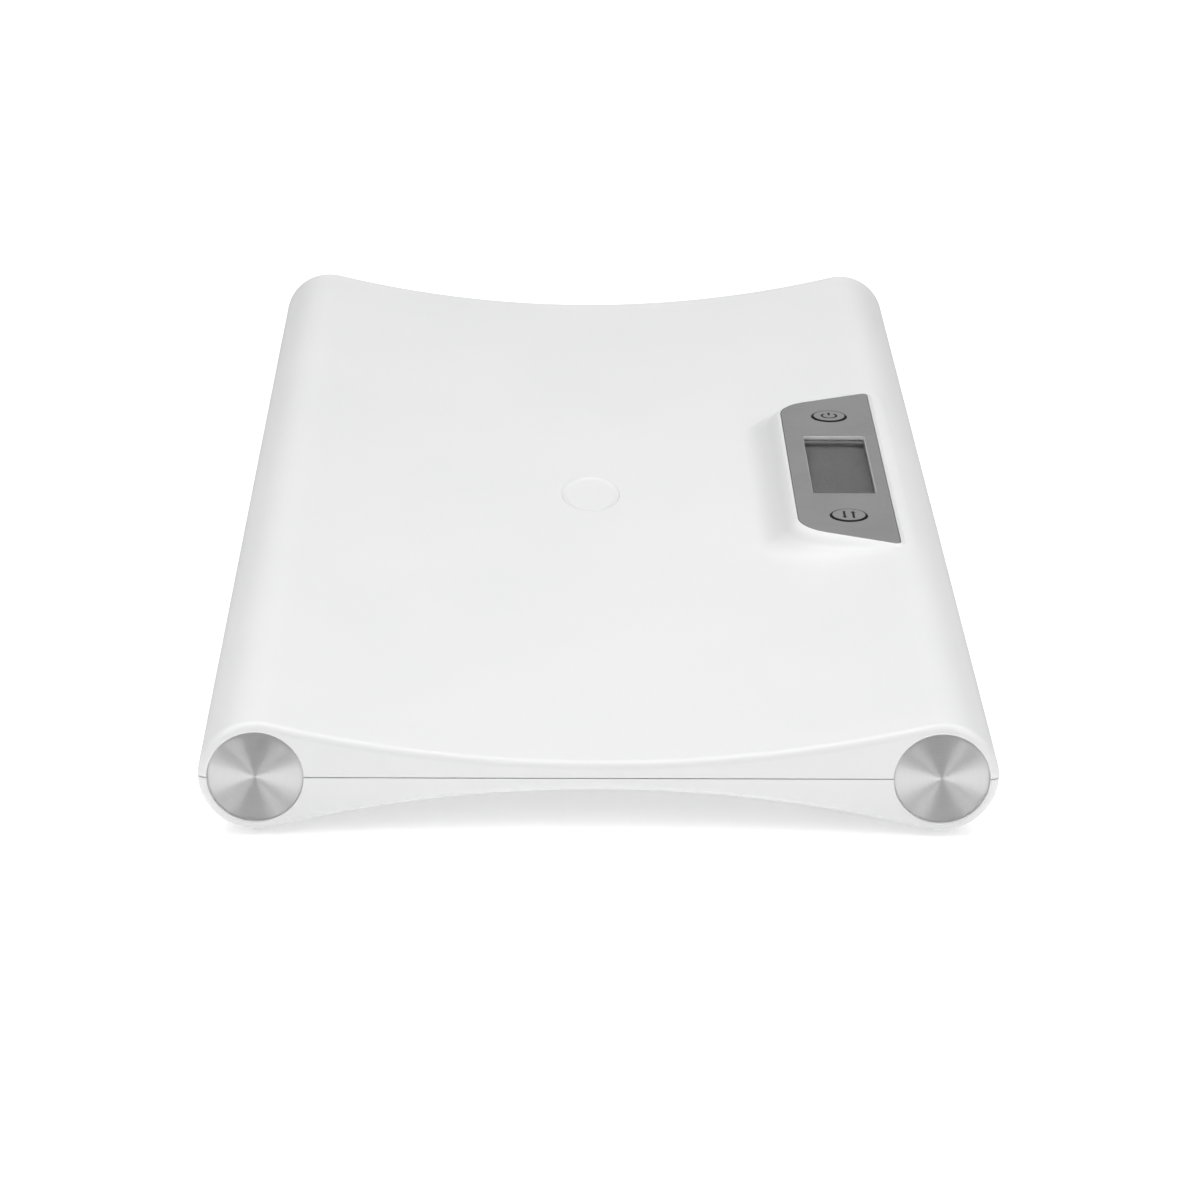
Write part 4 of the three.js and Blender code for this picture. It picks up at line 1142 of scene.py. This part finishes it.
def key(name, y, icon):
    """A press key with a rounded rim, and its icon let into its top. Its black sides and thin black top rim
    are partly bare moulding and partly painted shade for the gap round it.
    """
    top = KEY_HIGH.z
    flange = KEY_RADIUS + KEY_GAP + KEY_FLANGE
    under = FLANGE_TOP - FLANGE_THICKNESS
    rim = [(KEY_RADIUS + grow, z) for grow, z in round_over(KEY_EDGE, top, KEY_ROUND_STEPS)]
    silver_top_radius = KEY_RADIUS - KEY_EDGE - KEY_BLACK_SHADE_RIM
    profile = [(0, KEY_LOW.z), (PLUNGER_RADIUS, KEY_LOW.z), (PLUNGER_RADIUS, under), (flange, under),
               (flange, FLANGE_TOP), (KEY_RADIUS, FLANGE_TOP), *rim, (silver_top_radius, top), (0, top)]
    cap = lathe(f"{name}_key", profile, KEY_STEPS)
    cut(cap, *[prism("icon_recess", shape, top - ICON_DEPTH, top + OVERRUN) for shape in icon(ICON_FIT)])
    moved(cap, Matrix.Translation((KEY_X, y, 0)))
    dressed(cap, "silver_paint", f"{name}_button", body=f"{name}_button")
    # Black on the cap's sides and a thin rim of its top: partly bare moulding under the silver top, partly
    # painted shade that darkens the gap between key and panel
    two_tone(cap, LOOKS["black_plastic"], lambda centre, normal: (
        centre.z < top - ICON_SINK or hypot(centre.x - KEY_X, centre.y - y) > silver_top_radius))
    for i, shape in enumerate(icon(0)):
        inlay = prism(f"{name}_icon_{i + 1}", shape + (KEY_X, y),
                      top - ICON_DEPTH + ICON_SINK / 2, top - ICON_SINK)
        dress(inlay, ICON_INK, f"{name}_button")


# Feet, with the inner radii of the pads' grooves

PAD_GROOVES = (2.4 * mm, 4.4 * mm, 6.4 * mm)
PAD_GROOVE_WIDTH = 0.8 * mm
PAD_GROOVE_DEPTH = 0.5 * mm
CUP_EDGE = 0.4 * mm


def foot(corner, x, y):
    """A rubber pad in a plastic cup, whose stem and snap lip reach up to the load cell."""
    place = Matrix.Translation((x * TUBE_X, y * FOOT_Y, 0))
    socket = PAD_HIGH.z + FIT
    inner = PAD_RADIUS + FIT
    lip = FOOT_FLOOR_TOP + 2 * FIT
    top_edge = [(CUP_RADIUS + grow, z) for grow, z in round_over(CUP_EDGE, CUP_TOP)]
    cup = lathe(f"foot_cup_{corner}_moulded", [
        (0, socket), (inner, socket), (inner, CUP_LOW.z), (CUP_RADIUS - CUP_EDGE / 2, CUP_LOW.z),
        (CUP_RADIUS, CUP_LOW.z + CUP_EDGE / 2), *top_edge, (STEM_RADIUS + CUP_EDGE, CUP_TOP),
        (STEM_RADIUS, CUP_TOP + CUP_EDGE), (STEM_RADIUS, lip), (STEM_RADIUS + STEM_LIP, lip),
        (STEM_RADIUS, lip + STEM_LIP), (STEM_RADIUS, CUP_HIGH.z), (0, CUP_HIGH.z)])
    dressed(moved(cup, place), "black_plastic", f"foot_cup_{corner}")
    edges = [(start, start + PAD_GROOVE_WIDTH) for start in PAD_GROOVES]
    grooves = [place for a, b in edges for place in (
        (a, 0), (a, PAD_GROOVE_DEPTH), (b, PAD_GROOVE_DEPTH), (b, 0))]
    pad = lathe(f"foot_pad_{corner}_moulded", [
        (0, 0), *grooves, (PAD_RADIUS - CUP_EDGE, 0), (PAD_RADIUS, CUP_EDGE),
        (PAD_RADIUS, PAD_HIGH.z), (0, PAD_HIGH.z)])
    dressed(moved(pad, place), "grey_rubber", f"foot_pad_{corner}")


# Batteries and door

NUB_RADIUS = 1.9 * mm
NUB_HEIGHT = 0.8 * mm
CRIMP = 0.45 * mm
BEAD_FROM = 0.88
BEAD_TOP = 0.94
CAP_SHARE = 0.8
BARE_SHARE = 0.97


def battery(name, towards):
    """A round cell in a plain sleeve, with its steel ends bare."""
    low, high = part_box(name)
    length = high.y - low.y
    body = length - NUB_HEIGHT
    rim = BATTERY_RADIUS - CRIMP
    profile = [
        (0, 0), (rim * BEAD_FROM, 0), (rim * BEAD_TOP, CRIMP / 2), (rim, 0), (BATTERY_RADIUS, CRIMP),
        (BATTERY_RADIUS, body - CRIMP), (rim, body), (rim * CAP_SHARE, body - CRIMP / 2),
        (NUB_RADIUS, body - CRIMP / 2), (NUB_RADIUS, length - CRIMP / 3),
        (NUB_RADIUS - CRIMP / 3, length), (0, length)]
    cell = lathe(f"{name}_sleeved", profile, SMOOTH)
    start = low.y if towards > 0 else high.y
    x, _, z = middle(name)
    dressed(moved(cell, along_y(towards, x, start, z)), "battery_wrap", name)
    two_tone(cell, LOOKS["steel"], lambda centre, normal: (
        hypot(centre.x - x, centre.z - z) < rim * BARE_SHARE))


def battery_door():
    """A strip of the tube's skin with a hooked tab, a springing tongue and a ridged grip."""
    reach = DOOR_HALF_Y + OVERRUN
    door = common(rod_along_y("battery_door_leaf", TUBE_RADIUS, 0, reach, DOOR_STEPS),
                  pillar("column", 0, 0, DOOR_HALF_X, DOOR_HALF_Y, 0, PARTING_Z))
    cut(door, rod_along_y("core", TUBE_RADIUS - DOOR_THICKNESS, 0, reach + OVERRUN, DOOR_STEPS))
    tab_top = TAB_BOTTOM + TAB_THICKNESS
    join(door,
         block("riser", -TAB_HALF, TAB_HALF, -DOOR_HALF_Y, -DOOR_HALF_Y + TAB_ROOT,
               SHELL_LOW.z + DOOR_THICKNESS / 2, tab_top),
         block("tab", -TAB_HALF, TAB_HALF, -DOOR_HALF_Y - TAB_LENGTH, -DOOR_HALF_Y + TAB_ROOT,
               TAB_BOTTOM, tab_top))
    slits = [pillar("slit", side * NOTCH_RADIUS, DOOR_HALF_Y, SLIT_WIDTH / 2, SLIT_LENGTH, 0, PARTING_Z)
             for side in (-1, 1)]
    grips = [pillar("grip", 0, DOOR_HALF_Y - GRIP_PITCH * (i + 1), GRIP_HALF, GRIP_PITCH / 4,
                    0, SHELL_LOW.z + GRIP_DEPTH) for i in range(GRIP_COUNT)]
    cut(door, *slits, *grips)
    moved(door, Matrix.Translation((TUBE_X, 0, 0)))
    dressed(door, "white_plastic", "battery_door", body="battery_door")


# Screws

THREAD_PITCH = 1.1 * mm
THREAD_ROOT = 0.78 * SCREW_SHANK
THREAD_CREST = 0.45 * THREAD_PITCH
THREAD_END = 0.9 * THREAD_PITCH
HEAD_STEPS = 7
HEAD_POWER = 0.8
HEAD_DOME = 0.7 * SCREW_HEAD_HEIGHT
CROSS_ARM = 0.55 * SCREW_HEAD
CROSS_HALF_WIDTH = 0.13 * SCREW_HEAD
CROSS_DEPTH = 0.75 * SCREW_HEAD_HEIGHT


def case_screw(name):
    """A pan head screw with a cross recess and a coarse thread."""
    low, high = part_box(name)
    seat = low.z + SCREW_HEAD_HEIGHT
    dome = [(SCREW_HEAD * sin(t) ** HEAD_POWER, low.z + HEAD_DOME * (1 - cos(t)))
            for t in np.linspace(0, PI / 2, HEAD_STEPS + 1)[1:]]
    thread = []
    for z in np.arange(seat + THREAD_PITCH / 2, high.z - SCREW_SHANK - THREAD_PITCH, THREAD_PITCH):
        thread += [(THREAD_ROOT, z), (SCREW_SHANK, z + THREAD_CREST), (THREAD_ROOT, z + THREAD_END)]
    profile = [(0, low.z), *dome, (SCREW_HEAD, seat), (THREAD_ROOT, seat), *thread,
               (THREAD_ROOT, high.z - SCREW_SHANK), (0, high.z)]
    screw = lathe(f"{name}_turned", profile, MEDIUM)
    cut(screw, *[pillar("arm", 0, 0, across, along, low.z - OVERRUN, low.z + CROSS_DEPTH)
                 for across, along in ((CROSS_ARM, CROSS_HALF_WIDTH), (CROSS_HALF_WIDTH, CROSS_ARM))])
    dressed(moved(screw, Matrix.Translation((*middle(name).xy, 0))), "steel", name)


# Stage, light and camera

FLOOR_REACH = 12
FLOOR_SINK = 0.05 * mm
FLOOR_LEVEL = 0.95
FLOOR_GLOW = (0.3, 1.0)
FLOOR_GLOW_SPAN = (1.0, 3.0)
FLOOR_GLOW_MIRRORED = 0.12
# Places along Y and the floor's level there as glossy surfaces see it
FLOOR_MIRRORED = [(-0.7, 0.13), (-0.47, 0.17), (-0.385, 0.86), (-0.3, 0.86), (-0.16, 0.27)]
WORLD_LEVELS = (0.19, 0.85)
WORLD_SPAN = (-0.7, 0.7)
WORLD_SHOWN = 1.0
LAMP_DISTANCE = 2.8
STREAK_DISTANCE = 2.4


def floor():
    """A pale floor that shows from above only, so that the underside can be looked at.

    It glows faintly, less near the object, and glossy surfaces see it darker close in front.
    """
    mesh = bpy.data.meshes.new("floor")
    corners = [(x * FLOOR_REACH, y * FLOOR_REACH, -FLOOR_SINK) for _, x, y in CORNERS]
    mesh.from_pydata(corners, [], [(0, 1, 3, 2)])
    look = Look("pale_floor", grey(FLOOR_LEVEL), 0.55)
    glossy = look.out("LightPath", "Is Glossy Ray")
    first, last = FLOOR_MIRRORED[0][0], FLOOR_MIRRORED[-1][0]
    along = look.ranged(look.y_of(look.place), 0, 1, first, last)
    ramp = look.node("ValToRGB", {"Fac": along})
    stops = ramp.color_ramp.elements
    for place, _ in FLOOR_MIRRORED[1:-1]:
        stops.new((place - first) / (last - first))
    for stop, (_, level) in zip(stops, FLOOR_MIRRORED):
        stop.color = (*grey(level), 1)
    glow = look.ranged(look.radius(), *FLOOR_GLOW, *FLOOR_GLOW_SPAN)
    look.set(Base_Color=look.mixed(glossy, FLOOR_LEVEL, ramp.outputs["Color"]),
             Emission_Color=(1, 1, 1, 1),
             Emission_Strength=look.mixed(glossy, glow, FLOOR_GLOW_MIRRORED))
    inputs = {"Fac": look.out("NewGeometry", "Backfacing"), 1: look.shader.outputs["BSDF"],
              2: look.out("BsdfTransparent", "BSDF")}
    surface = look.tree.nodes["Material Output"].inputs["Surface"]
    look.feed(surface, look.out("MixShader", "Shader", inputs))
    mesh.materials.append(look.material)
    shown("floor", mesh)


def aimed(bearing, down):
    """The turn of a lamp or camera that looks along a bearing and down by an angle."""
    return Matrix.Rotation(bearing, 4, "Z") @ Matrix.Rotation(PI / 2 - down, 4, "X")


def softbox(name, azimuth, elevation, width, height, radiance, mirrored=False):
    """A soft lamp that looks at the object from a bearing off the front and a height angle.

    The camera doesn't see it. Only a mirrored one shows in glossy surfaces.
    """
    data = bpy.data.lights.new(name, "AREA")
    data.shape = "RECTANGLE"
    data.size, data.size_y = width, height
    data.energy = radiance * PI * width * height
    away = (0, 0, STREAK_DISTANCE if mirrored else LAMP_DISTANCE)
    lamp = shown(name, data)
    lamp.matrix_world = aimed(radians(azimuth), radians(elevation)) @ Matrix.Translation(away)
    lamp.visible_camera = False
    lamp.visible_glossy = mirrored


def world():
    """A surround that is darker in front than behind, and white where the camera sees it."""
    surround = bpy.data.worlds.new("studio")
    SCENE.world = surround
    surround.use_nodes = True
    graph = Graph(surround.node_tree)
    along = graph.y_of(graph.out("TexCoord", "Generated"))
    level = graph.ranged(along, *WORLD_LEVELS, *WORLD_SPAN, "SMOOTHSTEP")
    seen = graph.out("LightPath", "Is Camera Ray")
    graph.feed(graph.tree.nodes["Background"].inputs["Strength"], graph.mixed(seen, level, WORLD_SHOWN))


CAMERA_PLACE = (-22.82 * mm, -1757.73 * mm, 643.44 * mm)
CAMERA_PITCH = 0.3593
CAMERA_YAW = 0.0155
CAMERA_ROLL = -0.0089
CAMERA_LENS = 127.07
CAMERA_CLIP = (0.05, 60)
SENSOR = 36


def camera():
    """The photograph's camera, aimed by pitch, yaw and roll."""
    data = bpy.data.cameras.new("camera")
    data.sensor_width = SENSOR
    data.lens = CAMERA_LENS
    data.clip_start, data.clip_end = CAMERA_CLIP
    turn = aimed(-CAMERA_YAW, CAMERA_PITCH) @ Matrix.Rotation(-CAMERA_ROLL, 4, "Z")
    cam = shown("camera", data)
    cam.matrix_world = Matrix.Translation(CAMERA_PLACE) @ turn
    SCENE.camera = cam


# The whole scene

camera()
world()
floor()
softbox("overhead", azimuth=180, elevation=76, width=3.4, height=3.0, radiance=3.05)
for side in (-1, 1):
    softbox("front", azimuth=side * 50, elevation=38, width=1.3, height=2.0, radiance=2.12)
    softbox("streak", azimuth=side * 48, elevation=36, width=0.6, height=1.3, radiance=3.4, mirrored=True)
SCENE.view_settings.view_transform = "Standard"

top_shell()
bottom_shell()
for corner, side_x, side_y in CORNERS:
    end_disc(corner, side_x, side_y)
    foot(corner, side_x, side_y)
badge()
display_panel()
key("power", KEY_Y, power_icon)
key("unit", -KEY_Y, unit_icon)
battery_door()
for number, towards in ((1, 1), (2, 1), (3, -1), (4, -1)):
    battery(f"battery_{number}", towards)
for screw_name in CASE_SCREWS:
    case_screw(screw_name)

# CAD nodes that stay in view, by slot
KEPT_NODES = {
    "clear_plastic": ["display_lens"],
    "display_glass": ["display_glass"],
    "carbon_rubber": ["contact_strip_left", "contact_strip_right"],
    "black_plastic": ["power_switch", "unit_switch", "controller_chip", "converter_chip"],
    "circuit_board": ["main_board"],
    "spring_metal": ["battery_link_contact", "battery_contact_left", "battery_contact_right"],
    "red_jacket": ["battery_lead_positive"],
    "black_jacket": ["battery_lead_negative"],
    "steel": [f"{kind}_{corner[0]}" for kind in ("board_screw", "load_cell") for corner in CORNERS],
    "white_jacket": [f"load_cell_lead_{corner[0]}" for corner in CORNERS],
}
for slot_name, node_names in KEPT_NODES.items():
    for node_name in node_names:
        finish(NODES[node_name], LOOKS[slot_name])
finish(NODES["display_frame"], FRAME_GREY)
